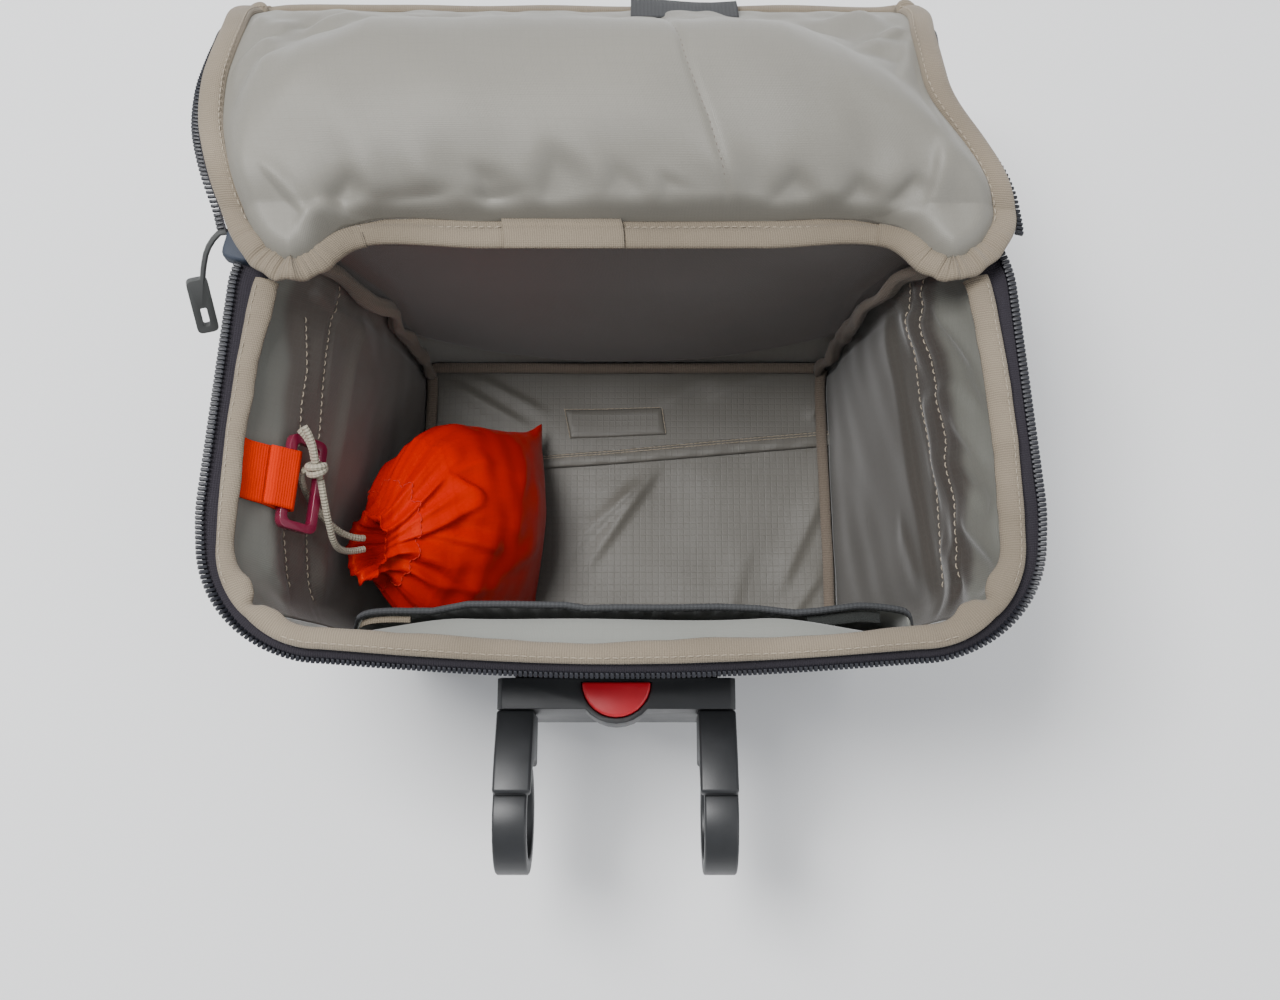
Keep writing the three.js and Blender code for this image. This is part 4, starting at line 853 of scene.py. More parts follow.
def clamp_round(x, y, half, low, high, radius):
    """Brings the corners of a rectangle in to a round."""
    over_x = np.maximum(0, np.abs(x) - (half - radius))
    middle = (low + high) / 2
    over_y = np.maximum(0, np.abs(y - middle) - ((high - low) / 2 - radius))
    reach = np.hypot(over_x, over_y)
    pull = np.where(reach > radius, radius / np.maximum(reach, 1e-6), 1)
    new_x = np.where(over_x > 0, np.sign(x) * (half - radius + over_x * pull), x)
    reach = (high - low) / 2 - radius + over_y * pull
    new_y = np.where(over_y > 0, middle + np.sign(y - middle) * reach, y)
    both = (over_x > 0) & (over_y > 0)
    return np.where(both, new_x, x), np.where(both, new_y, y)


def make_floor():
    half, low, high = FLOOR_HALF, FLOOR_NEAR, FLOOR_FAR
    x, y = np.meshgrid(np.linspace(-half, half, FLOOR_GRID[0]), np.linspace(low, high, FLOOR_GRID[1]),
                       indexing="ij")
    x, y = clamp_round(x, y, half, low, high, FLOOR_ROUND)
    z = FLOOR_TOP - 0.3 + floor_relief(x, y)
    piece = surface("floor_cloth", np.stack([x, y, z], axis=-1), np.stack([x, y], axis=-1) * MM)
    return dress(thicken(piece, FLOOR_CLOTH), FLOOR_NYLON, replaces=["floor_pad"])


def make_floor_strip():
    """A hem that runs across the floor: its far edge sewn flat, its near edge a rolled lip."""
    far_edge = smooth_path([(*place, 0) for place in STRIP_FAR], 18)
    near_edge = smooth_path([(*place, 0) for place in STRIP_NEAR], 18)
    rows = []
    for far, near in zip(far_edge, near_edge):
        line = []
        for step in range(11):
            t = step / 10
            point = mix(far, near, t)
            roll = 0.5 + 1.3 * math.sin(math.pi * min(1, t * 1.02)) ** 0.7 * (0.35 + 0.65 * t)
            ripple = 0.18 * math.sin(point[0] * 0.42 + t * 2)
            point[2] = FLOOR_TOP + 0.2 + floor_relief(point[0], point[1]) * 0.6 + roll + ripple
            line.append(point)
        rows.append(line)
    grid = np.array(rows)[:, ::-1]
    piece = surface("floor_hem", grid, grid[..., :2] * MM)
    return dress(thicken(piece, FLOOR_EXTRA), FLOOR_NYLON)


def make_floor_patch():
    a, b, c, d = (np.array(corner, float) for corner in PATCH)

    def place(s, t):
        x, y = mix(mix(a, b, s), mix(d, c, s), t)
        rim = min(s, 1 - s) * 49
        side = min(t, 1 - t) * 14
        rise = 0.75 * float(smooth_step(-0.5, 2.5, min(rim, side)))
        return x, y, FLOOR_TOP + 0.15 + float(floor_relief(x, y)) + rise

    grid = grid_of(np.linspace(0, 1, 46), np.linspace(0, 1, 16), place)[:, ::-1]
    piece = surface("floor_patch", grid, grid[..., :2] * MM)
    return dress(thicken(piece, FLOOR_EXTRA), FLOOR_NYLON)


make_floor()
make_floor_strip()
make_floor_patch()


# Walls inside
# Each fold runs from turn (in hundredths), height to turn, height with a width and a height
LEFT_FOLDS = [
    (82, 150, 92, 128, 7, 2.0), (70, 122, 88, 98, 6, 1.6), (8, 150, 22, 112, 5, 1.6),
    (14, 128, 26, 84, 6, 1.4), (60, 158, 76, 142, 6, 1.2),
]
RIGHT_FOLDS = [
    (210, 150, 226, 118, 7, 2.6), (206, 126, 232, 140, 6, 2.2), (238, 158, 246, 126, 7, 1.9),
    (262, 156, 258, 122, 6, 1.5), (276, 150, 284, 118, 6, 1.8), (218, 104, 236, 92, 7, 1.2),
    (286, 144, 262, 161, 5, 2.8), (270, 142, 250, 160, 4, -2.2), (256, 143, 236, 161, 6, 2.8),
    (240, 142, 226, 159, 4, -2.2), (230, 140, 214, 160, 6, 3.0), (216, 136, 206, 156, 5, -2.0),
]
# The two seams of each side wall, by turn and height
LEFT_SEAM_HIGH = [(0.2, 146), (0.338, 140), (0.425, 140), (0.5, 138), (0.75, 138), (0.8, 134), (0.88, 128)]
LEFT_SEAM_LOW = [(0.04, 134), (0.075, 130), (0.288, 130), (0.475, 125), (0.562, 124), (0.725, 122),
                 (0.788, 118), (0.88, 110)]
RIGHT_SEAM_HIGH = [(2.14, 134), (2.263, 137), (2.425, 139), (2.6, 137), (2.75, 136), (2.9, 138), (2.96, 146)]
RIGHT_SEAM_LOW = [(2.14, 118), (2.263, 122), (2.425, 127), (2.6, 124), (2.75, 126), (2.875, 128), (2.96, 136)]


def seam_height(turns, table):
    places, heights = zip(*table)
    return np.interp(turns, places, heights)


def side_relief(rows, high, low, slack, seed):
    """The swell of a side wall: its folds, its loose top and the dents of its two seams."""
    def relief(turns, z):
        x = turns * 100
        loose = smooth_step(116, 132, z) * (1 - smooth_step(158, 166, z))
        size, length, slack_seed, rise = slack
        seam = -1.1 * np.exp(-(((z - seam_height(turns, low)) / 1.6) ** 2))
        seam += -0.8 * np.exp(-(((z - seam_height(turns, high)) / 1.4) ** 2))
        swell = loose * (size * unrest(x, z, length, slack_seed) + rise)
        return folds(x, z, rows) + swell + 0.3 * unrest(x, z, 24, seed) + seam
    return relief


left_relief = side_relief(LEFT_FOLDS, LEFT_SEAM_HIGH, LEFT_SEAM_LOW, (0.9, 30, 11, 0.5), 5)
right_relief = side_relief(RIGHT_FOLDS, RIGHT_SEAM_HIGH, RIGHT_SEAM_LOW, (1.5, 26, 21, 0.9), 7)


def board_foot(x):
    return 14 + 34 * (x / 97) ** 2


def far_relief(turns, z):
    x = outline(np.atleast_1d(turns), 90)[:, 0].reshape(np.shape(turns))
    board = smooth_step(0, 2.5, z - board_foot(x))
    across = np.cos(np.clip(x / 100, -1, 1) * math.pi / 2)
    belly = 3.0 * across * np.sin(np.clip(z / TUB_HEIGHT, 0, 1) * math.pi)
    return 2.2 * board + belly * board + 0.25 * unrest(x, z, 60, 31)


def near_relief(turns, z):
    x = turns * 100
    slope = smooth_step(118, 149, z) * (1 - smooth_step(150, TUB_HEIGHT, z))
    behind = smooth_step(1.14, 1.32, turns) * (1 - smooth_step(1.66, 1.84, turns))
    return 0.7 * unrest(x, z, 36, 41) + 0.5 + 11.0 * slope * behind


def make_wall(name, start, end, relief, material, tone, node, columns, flare=0.0025):
    turns = np.linspace(start + flare, end - flare, columns)
    heights = np.linspace(FLOOR_TOP + GAP, TUB_HEIGHT - 0.3, WALL_ROWS)
    rows = []
    for z in heights:
        edge = np.minimum(1, np.minimum(turns - start, end - turns) / 0.06)
        edge = edge * min(1, (TUB_HEIGHT - z) / 5 + 0.05)
        inset = lining_front(turns, z) - 0.3 + relief(turns, np.full(turns.shape, z)) * edge
        out = slack_out(turns, z)
        rows.append(wall_row(turns, z, np.maximum(inset, LINING_BACK + 1.3) - out))
    grid = np.array(rows)
    run = lengths(grid[len(grid) // 2])
    piece = surface(name, grid, unrolled(heights, run)[..., ::-1])
    if tone is not None:
        shares = np.concatenate([tone(turns, np.full(turns.shape, z)) for z in heights])
        set_tone(piece, shares)
    return dress(thicken(piece, WALL_CLOTH), material, replaces=[node])


# Share of the dark tone: all of it on the brown panel, from a little above the upper seam down to the lower
# seam, and 0.85 of it below the lower seam, where it is painted shade
def brown_panel_and_painted_shade(high, low):
    def tone(turns, z):
        upper = seam_height(turns, high) + 9
        lower = seam_height(turns, low)
        return smooth_step(-3, 3, upper - z) * (0.85 + 0.15 * smooth_step(-2, 2, z - lower))
    return tone


def board_tone(turns, z):
    x = outline(turns, 90)[:, 0]
    return 1 - smooth_step(-0.8, 0.8, z - board_foot(x))


make_wall("wall_left", 0, 1, left_relief, WALL_NYLON, brown_panel_and_painted_shade(LEFT_SEAM_HIGH, LEFT_SEAM_LOW),
          "lining_left", SIDE_WALL_STEPS)
make_wall("wall_right", 2, 3, right_relief, SHADED_RIGHT_NYLON, brown_panel_and_painted_shade(RIGHT_SEAM_HIGH, RIGHT_SEAM_LOW),
          "lining_right", SIDE_WALL_STEPS)
make_wall("wall_near", 1, 2, near_relief, POCKET_NYLON, None, "lining_near", CROSS_WALL_STEPS)
make_wall("wall_far", 3, 4, far_relief, FAR_NYLON, board_tone, "lining_far", CROSS_WALL_STEPS)


# Tapes that bind the edges
def tape_section(width, height, wobble=0.0):
    """The rounded section of a folded tape, as inset and height."""
    points = []
    for step in range(TAPE_SIDES):
        angle = TURN * step / TAPE_SIDES
        across, up = math.cos(angle), math.sin(angle)
        square = (abs(across) ** 3.2 + abs(up) ** 3.2) ** (1 / 3.2)
        x = 0.5 + 0.5 * across / square * 0.98
        lift = 0.5 + 0.5 * up / square
        crown = 1 - 0.16 * (2 * x - 1) ** 2 - 0.1 * x
        points.append((width * (x + wobble), height * lift * (crown if lift > 0.5 else 1)))
    return points


def rim_width(turn):
    """The tape looks narrow along the left side and broad along the right one."""
    places = (0.0, 0.3, 0.55, 0.9, 1.1, 1.9, 2.1, 2.6, 3.0)
    widths = (11.0, 8.6, 7.2, 6.8, 8.4, 8.8, 9.8, 9.6, 10.0)
    return float(np.interp(turn, places, widths))


def rim_pinch(turn):
    """Each near corner of the tape bulges in on both sides of a tight crease."""
    total = 0.0
    for corner in (0.985, 2.02):
        total += 2.6 * math.exp(-((turn - corner + 0.06) / 0.035) ** 2)
        total += 1.8 * math.exp(-((turn - corner - 0.06) / 0.03) ** 2)
        total -= 2.4 * math.exp(-((turn - corner) / 0.014) ** 2)
    return total


def rim_sway(turn):
    return 0.7 * float(unrest(turn * 100, 0, 24, 51)) + 0.25 * float(unrest(turn * 100, 0, 7, 53))


def rim_swell(turn):
    return 1 + 0.09 * float(unrest(turn * 100, 9, 13, 52))


def make_rim_binding():
    start = turn_at(RIM_END_LEFT_Y, 0, 1)
    end = turn_at(RIM_END_RIGHT_Y, 2, 1)
    rings = []
    for turn in np.linspace(start, end, TAPE_STEPS):
        sway = rim_sway(turn)
        swell = rim_swell(turn) + 0.04 * float(unrest(turn * 100, 2, 5, 54))
        width = rim_width(turn)
        out = float(slack_out(turn, TUB_HEIGHT))
        ring = []
        for inset, lift in tape_section(width, BINDING_HEIGHT * swell):
            share = inset / width
            place = inset + (sway * 0.7 + rim_pinch(turn)) * share - out - 0.1
            flat = wall_point(turn, TUB_HEIGHT, place)
            up = lift + 0.3 * sway - 1.1 * share * (1 if lift > 2 else 0.4)
            ring.append([flat[0], flat[1], TUB_HEIGHT + 0.1 + up])
        rings.append(ring)
    return dress(strip("rim_tape", rings), BINDING, replaces=["rim_binding"])


def lid_strip(name, start, end, count, section):
    rings = []
    for row in np.linspace(start, end, count):
        points = [(*lid_edge(row, inset), lift) for inset, lift in section(row)]
        x, along, lift = np.array(points).T
        rings.append(lid_points(x, along, lift))
    return strip(name, rings)


def elbow_share(row):
    """How near a row of the lid's edge is to one of the two crumpled elbows."""
    place = min(row % EDGE_ROWS, (-row) % EDGE_ROWS)
    return math.exp(-((place - 4.2) / 1.3) ** 2)


def lid_binding_at(row):
    """The tape's section, crumpled at the elbows and drawn in at the mitre of each free corner."""
    crumple = elbow_share(row)
    sway = 0.6 * float(unrest(row * 8, 0, 20, 61)) + crumple * 1.6 * float(unrest(row * 20, 3, 9, 62))
    swell = 1 + 0.08 * float(unrest(row * 8, 5, 11, 63)) + 0.2 * crumple * float(unrest(row * 30, 7, 8, 64))
    place = min(row % EDGE_ROWS, (-row) % EDGE_ROWS)
    swell += 0.34 * math.exp(-((place - MITRE_ROW - 0.35) / 0.24) ** 2)
    swell -= 0.42 * math.exp(-((place - MITRE_ROW) / 0.09) ** 2)
    section = tape_section(BINDING_WIDTH * (1 + 0.1 * crumple), BINDING_HEIGHT * swell)
    return [(inset + 0.4 * sway, lift + 0.5 * sway + 0.2) for inset, lift in section]


def hinge_binding_at(row):
    """Two thirds of the hinge's tape is a soft roll, and the rest lies flat past the stitches."""
    sway = 0.5 * float(unrest(row * 40, 0, 22, 71))
    points = []
    for inset, lift in tape_section(HINGE_BAND + 0.6, BINDING_HEIGHT * 0.9):
        flat = float(smooth_step(0.6, 0.7, inset / HINGE_BAND))
        groove = 0.9 * math.exp(-((inset - HINGE_SEAM) / 0.8) ** 2)
        drop = (0.35 * flat * lift + groove) if lift > BINDING_HEIGHT * 0.4 else 0
        points.append((inset, lift - drop + 0.5 * sway))
    return points


make_rim_binding()
lid_tape = lid_strip("lid_tape", HINGE_ROW - 0.1, EDGE_ROWS - HINGE_ROW + 0.1, TAPE_STEPS, lid_binding_at)
dress(lid_tape, BINDING, replaces=["lid_binding"])
hinge_tape = lid_strip("hinge_tape", -HINGE_ROW, HINGE_ROW, HINGE_TAPE_STEPS, hinge_binding_at)
dress(hinge_tape, BINDING, replaces=["hinge_binding"])


def make_tape_lap():
    """The free end of the hinge's tape, lapped over its start."""
    def place(x, along):
        share = (along + 0.7) / (HINGE_BAND + 2.3)
        up = BINDING_HEIGHT * (0.97 - 0.42 * abs(2 * share - 0.9) ** 2.6) + 0.7
        up -= 0.7 * math.exp(-((along - HINGE_SEAM) / 0.8) ** 2)
        return lid_points(x, along, up + 0.25 * float(unrest(x, 0, 22, 71)))

    grid = grid_of(np.linspace(-46, 1, 44), np.linspace(-0.7, HINGE_BAND + 1.6, 18), place)
    piece = surface("hinge_tape_lap", grid, unrolled(lengths(grid[:, 8]), lengths(grid[0])))
    return dress(thicken(piece, LAP_CLOTH), BINDING)


make_tape_lap()


ROLL_RADIUS, ROLL_SIDES, ROLL_STEPS = 2.9, 18, 120


def make_corner_roll(name, turn, phase, node):
    """A bound seam that climbs a far corner, soft and crumpled."""
    foot, top = FLOOR_TOP + 4.3, TUB_HEIGHT - 2
    path = []
    radii = []
    for share in np.linspace(0, 1, ROLL_STEPS):
        z = mix(foot, top, share)
        swing = 2.2 * (1 + math.sin(phase + share * 3.4 * math.pi)) / 2
        corner = level_at(z)[4] * FAR_CORNER_SHARE
        front = front_at(turn, z)
        tight = max(0.0, ROLL_RADIUS + GAP + front - corner)
        inset = front + 2 * GAP + ROLL_RADIUS + (math.sqrt(2) - 1) * tight + swing
        point = wall_point(turn, z, inset)
        side = unit(wall_point(turn + 0.02, z, inset) - wall_point(turn - 0.02, z, inset))
        path.append(point + side * 1.6 * float(unrest(share * 100, phase * 9, 22, 81)))
        radii.append(ROLL_RADIUS * (1 + 0.16 * float(unrest(share * 100, phase * 5, 12, 82))))
    rings = np.array(tube_rings(path, np.array(radii), ROLL_SIDES))
    for number, ring in enumerate(rings):
        centre = ring.mean(axis=0)
        for side, point in enumerate(ring):
            angle = TURN * side / ROLL_SIDES + number * 0.05
            squash = 1 + 0.2 * math.cos(2 * angle) + 0.08 * math.cos(5 * angle)
            rings[number, side] = centre + (point - centre) * squash
    return dress(strip(name, rings), SHADED_SEAM_TAPE, replaces=[node])


make_corner_roll("corner_roll_left", 4, 0.4, "corner_binding_left")
make_corner_roll("corner_roll_right", 3, 2.1, "corner_binding_right")


def make_floor_tape():
    rings = []
    for turn in np.linspace(2.1, 4.9, FLOOR_TAPE_STEPS):
        back = front_at(turn, 8) + 0.1
        sway = 0.45 * float(unrest(turn * 100, 0, 16, 91))
        ring = []
        for inset, lift in tape_section(5.4, 3.7 * (1 + 0.12 * sway)):
            point = wall_point(turn, FLOOR_TOP + 1, back + inset + 0.5 * sway + 0.4)
            point[2] = FLOOR_TOP + 0.3 + lift
            ring.append(point)
        rings.append(ring)
    return dress(strip("floor_tape", rings), SHADED_SEAM_TAPE, replaces=["floor_binding"])


make_floor_tape()


# Zip
def zip_place(turn):
    near = float(smooth_step(*ZIP_DIPS, turn)) * (1 - float(smooth_step(*ZIP_LIFTS, turn)))
    return mix(ZIP_REACH, ZIP_REACH_NEAR, near), TUB_HEIGHT + mix(ZIP_RISE, ZIP_RISE_NEAR, near)


def make_body_zip_tape():
    rings = []
    start, end = turn_at(ZIP_END_LEFT_Y + 6, 0, 1), turn_at(ZIP_END_RIGHT_Y, 2, 1)
    for turn in np.linspace(start, end, ZIP_TAPE_STEPS):
        reach, z = zip_place(turn)
        root = TUB_HEIGHT - ZIP_TAPE * 0.5
        outer, inner = [], []
        for share in np.linspace(0, 1, 7):
            inset = -(reach + 1.7 + GAP) * share
            middle = mix(root, z - 1.5, share**1.7)
            outer.append((inset, middle + ZIP_TAPE * 0.5))
            inner.append((inset, middle - ZIP_TAPE * 0.5))
        rings.append([[*wall_point(turn, TUB_HEIGHT, inset)[:2], up] for inset, up in outer + inner[::-1]])
    return dress(strip("zip_cloth_body", rings), ZIP_CLOTH, replaces=["zip_tape_body"])


def make_tooth():
    """One moulded tooth: a block with bevelled edges. X points off the tape."""
    bpy.ops.mesh.primitive_cube_add(size=1, location=(0, 0, 0))
    tooth = bpy.context.object
    tooth.scale = (TEETH_WIDTH * 0.92, 1.35, TEETH_HEIGHT * 0.8)
    settle(tooth)
    apply_modifier(tooth, "BEVEL", width=0.36, segments=2)
    return tooth


def teeth_frames(points, outs, ups):
    run = lengths(points)
    frames = []
    for place in np.arange(TEETH_PITCH / 2, run[-1], TEETH_PITCH):
        out = unit(point_along(place, run, outs))
        way = unit(np.cross(point_along(place, run, ups), out))
        frames.append((point_along(place, run, points), out, way, np.cross(out, way)))
    return frames


def make_body_teeth(tooth):
    turns = np.linspace(turn_at(ZIP_END_LEFT_Y, 0, 1), turn_at(ZIP_END_RIGHT_Y, 2, 1), TEETH_STEPS)
    points, outs, ups = [], [], []
    for turn in turns:
        reach, z = zip_place(turn)
        middle = wall_point(turn, TUB_HEIGHT, -2 * GAP - reach - TEETH_WIDTH / 2)
        way = middle - wall_point(turn, TUB_HEIGHT, 0)
        way[2] = 0
        way = unit(way)
        near = 1 - (reach - ZIP_REACH_NEAR) / (ZIP_REACH - ZIP_REACH_NEAR)
        tilt = math.radians(mix(8, 62, near))
        outs.append(way * math.cos(tilt) + np.array((0, 0, math.sin(tilt))))
        ups.append(np.array((0, 0, math.cos(tilt))) - way * math.sin(tilt))
        points.append([middle[0] - way[0] * near, middle[1] - way[1] * near, z])
    outs = np.array(outs)
    ups = np.array(ups)
    teeth = placed_copies("zip_teeth_row_body", tooth, teeth_frames(np.array(points), outs, ups))
    return dress(teeth, TEETH, replaces=["zip_teeth_body"])


LID_ZIP_START = 6.2
# How far the zip stands out from each half of the lid's edge, and how far it is turned up, by row
LID_ZIP_LEFT = [
    (6.2, 0.15, 0), (11.2, 0.15, 0), (12.6, 0.8, 0), (13.0, 1.0, 1), (14.0, 1.0, 1), (14.5, 0.5, 0),
    (16, 0.5, 0),
]
LID_ZIP_RIGHT = [
    (6.2, 0.1, 0), (7.2, -0.3, 0), (11.4, -0.3, 0), (12.3, 0.8, 0), (12.7, 1.0, 1), (15.1, 1.0, 1),
    (15.5, 0.5, 0), (16, 0.5, 0),
]


def make_lid_zip(tooth):
    """Along the sides it is tucked under the tape, and past the free corners it stands out."""
    rings, points, outs, ups = [], [], [], []
    for row in np.linspace(LID_ZIP_START, EDGE_ROWS - LID_ZIP_START, LID_ZIP_STEPS):
        place = min(row, EDGE_ROWS - row)
        rows, reaches, turns_up = zip(*(LID_ZIP_RIGHT if row < EDGE_ROWS / 2 else LID_ZIP_LEFT))
        reach = LID_ZIP_REACH * float(np.interp(place, rows, reaches))
        drop = LID_ZIP_DROP * (1 - 1.75 * float(np.interp(place, rows, turns_up)))
        ring = []
        middle, end = -GAP - reach / 2, -GAP - reach - 1
        for inset, lift in [(-GAP, 0.2), (-GAP, 1.4), (middle, 0.3), (end, ZIP_TAPE - drop), (end, -drop),
                            (middle, -1.4)]:
            edge = lid_edge(row, inset)
            ring.append(lid_points(edge[0], edge[1], lift))
        rings.append(ring)
        start = lid_edge(row, -2 * GAP - reach - TEETH_WIDTH / 2)
        root = lid_edge(row, 0)
        middle = ZIP_TAPE / 2 - drop
        points.append(lid_points(start[0], start[1], middle))
        outs.append(lid_points(start[0], start[1], middle) - lid_points(root[0], root[1], middle))
        ups.append(lid_points(start[0], start[1], middle + 1) - lid_points(start[0], start[1], middle))
    dress(strip("zip_cloth_lid", rings), ZIP_CLOTH, replaces=["zip_tape_lid"])
    points, outs, ups = np.array(points), np.array(outs), np.array(ups)
    teeth = placed_copies("zip_teeth_row_lid", tooth, teeth_frames(points, outs, ups))
    dress(teeth, TEETH, replaces=["zip_teeth_lid"])


make_body_zip_tape()
tooth_form = make_tooth()
make_body_teeth(tooth_form)
make_lid_zip(tooth_form)
bpy.data.objects.remove(tooth_form)


# Lid lining: a slack pillow with gathers along the hinge and one sewn seam
# Each fold runs from x, along to x, along with a width and a height
LID_FOLDS = [
    (-112, 14, -96, 27, 8, -5.0), (-96, 15, -60, 20, 9, -5.5), (-60, 17, -30, 20, 8, -3.0),
    (-50, 12, -47, 30, 9, -3.4), (-30, 13, -14, 36, 11, -4.0), (-6, 14, 8, 30, 9, -2.4),
    (18, 14, 24, 27, 8, -2.4), (58, 14, 76, 28, 9, -4.0), (86, 13, 100, 26, 9, -4.0),
    (104, 14, 120, 26, 6, -3.6), (-118, 6, -132, 30, 5, 3.0), (-124, 2, -110, 16, 5, 2.4),
    (118, 8, 134, 40, 5, 2.4), (-140, 60, -122, 100, 5, 2.8), (-136, 48, -112, 84, 5, 2.0),
    (-142, 84, -132, 118, 4, 2.6), (128, 62, 138, 100, 5, 2.4), (136, 40, 140, 76, 4, 2.0),
    (112, 84, 136, 110, 5, 2.2), (-112, 100, -92, 118, 6, 2.2), (-128, 92, -108, 116, 5, -2.2),
    (118, 96, 142, 104, 5, -2.4), (104, 112, 126, 124, 6, 2.2),
]
LID_SEAM = [(42, 12), (45, 30), (45.5, 45), (44, 58), (42, 72), (38, 86), (35, 118), (31, 140)]
LID_CREST = [(0, 84), (82, 82), (106, 68), (131, 48), (142, 34), (152, 26)]


def lid_seam_x(along):
    x, reach = zip(*LID_SEAM)
    return np.interp(along, reach, x)


def edge_distance(x, along, edges):
    """How far each point lies inside a closed line of edge points."""
    x, along = np.broadcast_arrays(np.asarray(x, float), np.asarray(along, float))
    best = np.full(x.shape, 1e9)
    for first, second in zip(edges, np.roll(edges, -1, axis=0)):
        run = second - first
        share = ((x - first[0]) * run[0] + (along - first[1]) * run[1]) / max(1e-9, run @ run)
        share = np.clip(share, 0, 1)
        off = np.hypot(x - first[0] - share * run[0], along - first[1] - share * run[1])
        best = np.minimum(best, off)
    return best


def lining_inset(row):
    place = min(row % EDGE_ROWS, (-row) % EDGE_ROWS)
    off_hinge = float(smooth_step(HINGE_ROW - 0.7, HINGE_ROW + 0.4, place))
    return mix(HINGE_BAND - 0.6, BINDING_WIDTH - 1.2, off_hinge)


LINING_EDGE = np.array([
    lid_edge(row, lining_inset(row))
    for row in np.linspace(0, EDGE_ROWS, LINING_EDGE_STEPS, endpoint=False)
])


def lid_lift(x, along):
    """How far the lining stands off the lid's surface."""
    inside = edge_distance(x, along, LINING_EDGE)
    crest = np.interp(np.abs(x), *zip(*LID_CREST))
    full = 1 - PUFF_SINK * smooth_step(crest - 12, crest + 34, along)
    ramp = mix(7.5, 30, smooth_step(16, 90, along))
    rise = (1 - (1 - np.clip(inside / ramp, 0, 1)) ** 2.3) * (0.6 + 0.4 * smooth_step(4, 56, along))
    full = full * (1 - 0.4 * smooth_step(92, 134, np.abs(x)) * (1 - smooth_step(34, 76, along)))
    wrinkles = folds(x, along, LID_FOLDS) * smooth_step(0.5, 7, inside)
    near_hinge = np.exp(-((along - 22) / 14) ** 2)
    ruck = unrest(x, along * 0.4, 15, 101) * near_hinge * smooth_step(0, 8, inside)
    seam = -1.2 * np.exp(-(((x - lid_seam_x(along)) / 1.6) ** 2)) * smooth_step(1, 8, inside)
    corners = smooth_step(crest - 4, crest + 20, along) * 0.7 * unrest(x, along, 19, 102)
    swell = 0.9 * unrest(x, along, 60, 103) * smooth_step(2, 20, inside)
    return 0.9 + LID_PUFF * full * rise + wrinkles + ruck + seam + corners * smooth_step(1, 9, inside) + swell


def side_of_lining(start, end, count):
    """Evenly spaced points along a part of the lining's edge."""
    rows = np.linspace(start, end, LINING_SIDE_STEPS)
    points = np.array([lid_edge(row, lining_inset(row)) for row in rows])
    run = lengths(points)
    return point_along(np.linspace(0, run[-1], count), run, points).T


def make_lid_lining():
    """A sheet stretched between four sides of the lid's edge, from elbow to elbow and up."""
    across, up = LINING_ACROSS, LINING_UP
    hinge = side_of_lining(-LINING_ELBOW, LINING_ELBOW, across)
    free = side_of_lining(EDGE_ROWS - LINING_CORNER, LINING_CORNER, across)
    left = side_of_lining(EDGE_ROWS - LINING_ELBOW, EDGE_ROWS - LINING_CORNER, up)
    right = side_of_lining(LINING_ELBOW, LINING_CORNER, up)
    u = np.linspace(0, 1, across)[None, :, None]
    v = np.linspace(0, 1, up)[:, None, None]
    flat = mix(hinge[None], free[None], v) + mix(left[:, None], right[:, None], u)
    flat -= mix(mix(hinge[0], hinge[-1], u), mix(free[0], free[-1], u), v)
    x, along = flat[..., 0], flat[..., 1]
    grid = lid_points(x, along, lid_lift(x, along), LINING_EASE)
    piece = surface("lid_pillow", grid, flat * MM)
    dress(thicken(piece, LINING_CLOTH), LID_NYLON, replaces=["lid_lining"])
    return piece


make_lid_lining()


# Outer cloth of the lid and of the tub
def make_lid_cover():
    """The lid's outer cloth, a shallow tray with a rounded edge."""
    rows = np.linspace(0, EDGE_ROWS, LID_COVER_STEPS, endpoint=False)
    profile = [
        (1, 0.0), (1.0, 0.25), (0.998, 0.5), (0.99, 0.72), (0.975, 0.87), (0.95, 0.96), (0.92, 1.0),
        *[(size, 1 + 0.06 * (1 - size)) for size in np.linspace(0.86, 0, LID_COVER_ROWS)],
    ]
    grid, uv = [], []
    edges = np.array([lid_edge(row, 0) for row in rows])
    for size, rise in profile:
        start = np.maximum(edges[:, 1], HINGE_LIMIT)
        x = edges[:, 0] * mix(RIDGE_SHARE, 1, size)
        along = mix(LID_TOTAL / 2, start, size)
        slack = 0.5 * unrest(x, along, 40, 111) * smooth_step(0.02, 0.2, 1 - size)
        grid.append(lid_points(x, along, -GAP - lid_depth(along) * rise + slack))
        flat = np.stack([x, along + rise * 20], axis=-1)
        uv.append(np.vstack([flat, flat[:1]]) * MM)
    piece = surface("lid_cover", np.array(grid)[:, ::-1], np.array(uv)[:, ::-1], wrap_columns=True)
    return dress(thicken(close_up(piece), COVER_CLOTH), OUTER_CLOTH, replaces=["lid_shell"])


SIDE_SEAMS = (0.2, 0.8, 2.2, 2.8)


def shell_relief(turns, z):
    x = turns * 100
    ways = [np.mod(turns - corner + 2, 4) - 2 for corner in SIDE_SEAMS]
    seam = sum(np.exp(-((way / 0.012) ** 2)) for way in ways)
    low_seam = np.exp(-(((z - 26) / 1.2) ** 2))
    belly = 0.7 * unrest(x, z, 44, 121) * np.sin(np.clip(z / TUB_HEIGHT, 0, 1) * math.pi)
    return belly - 0.8 * seam - 0.8 * low_seam


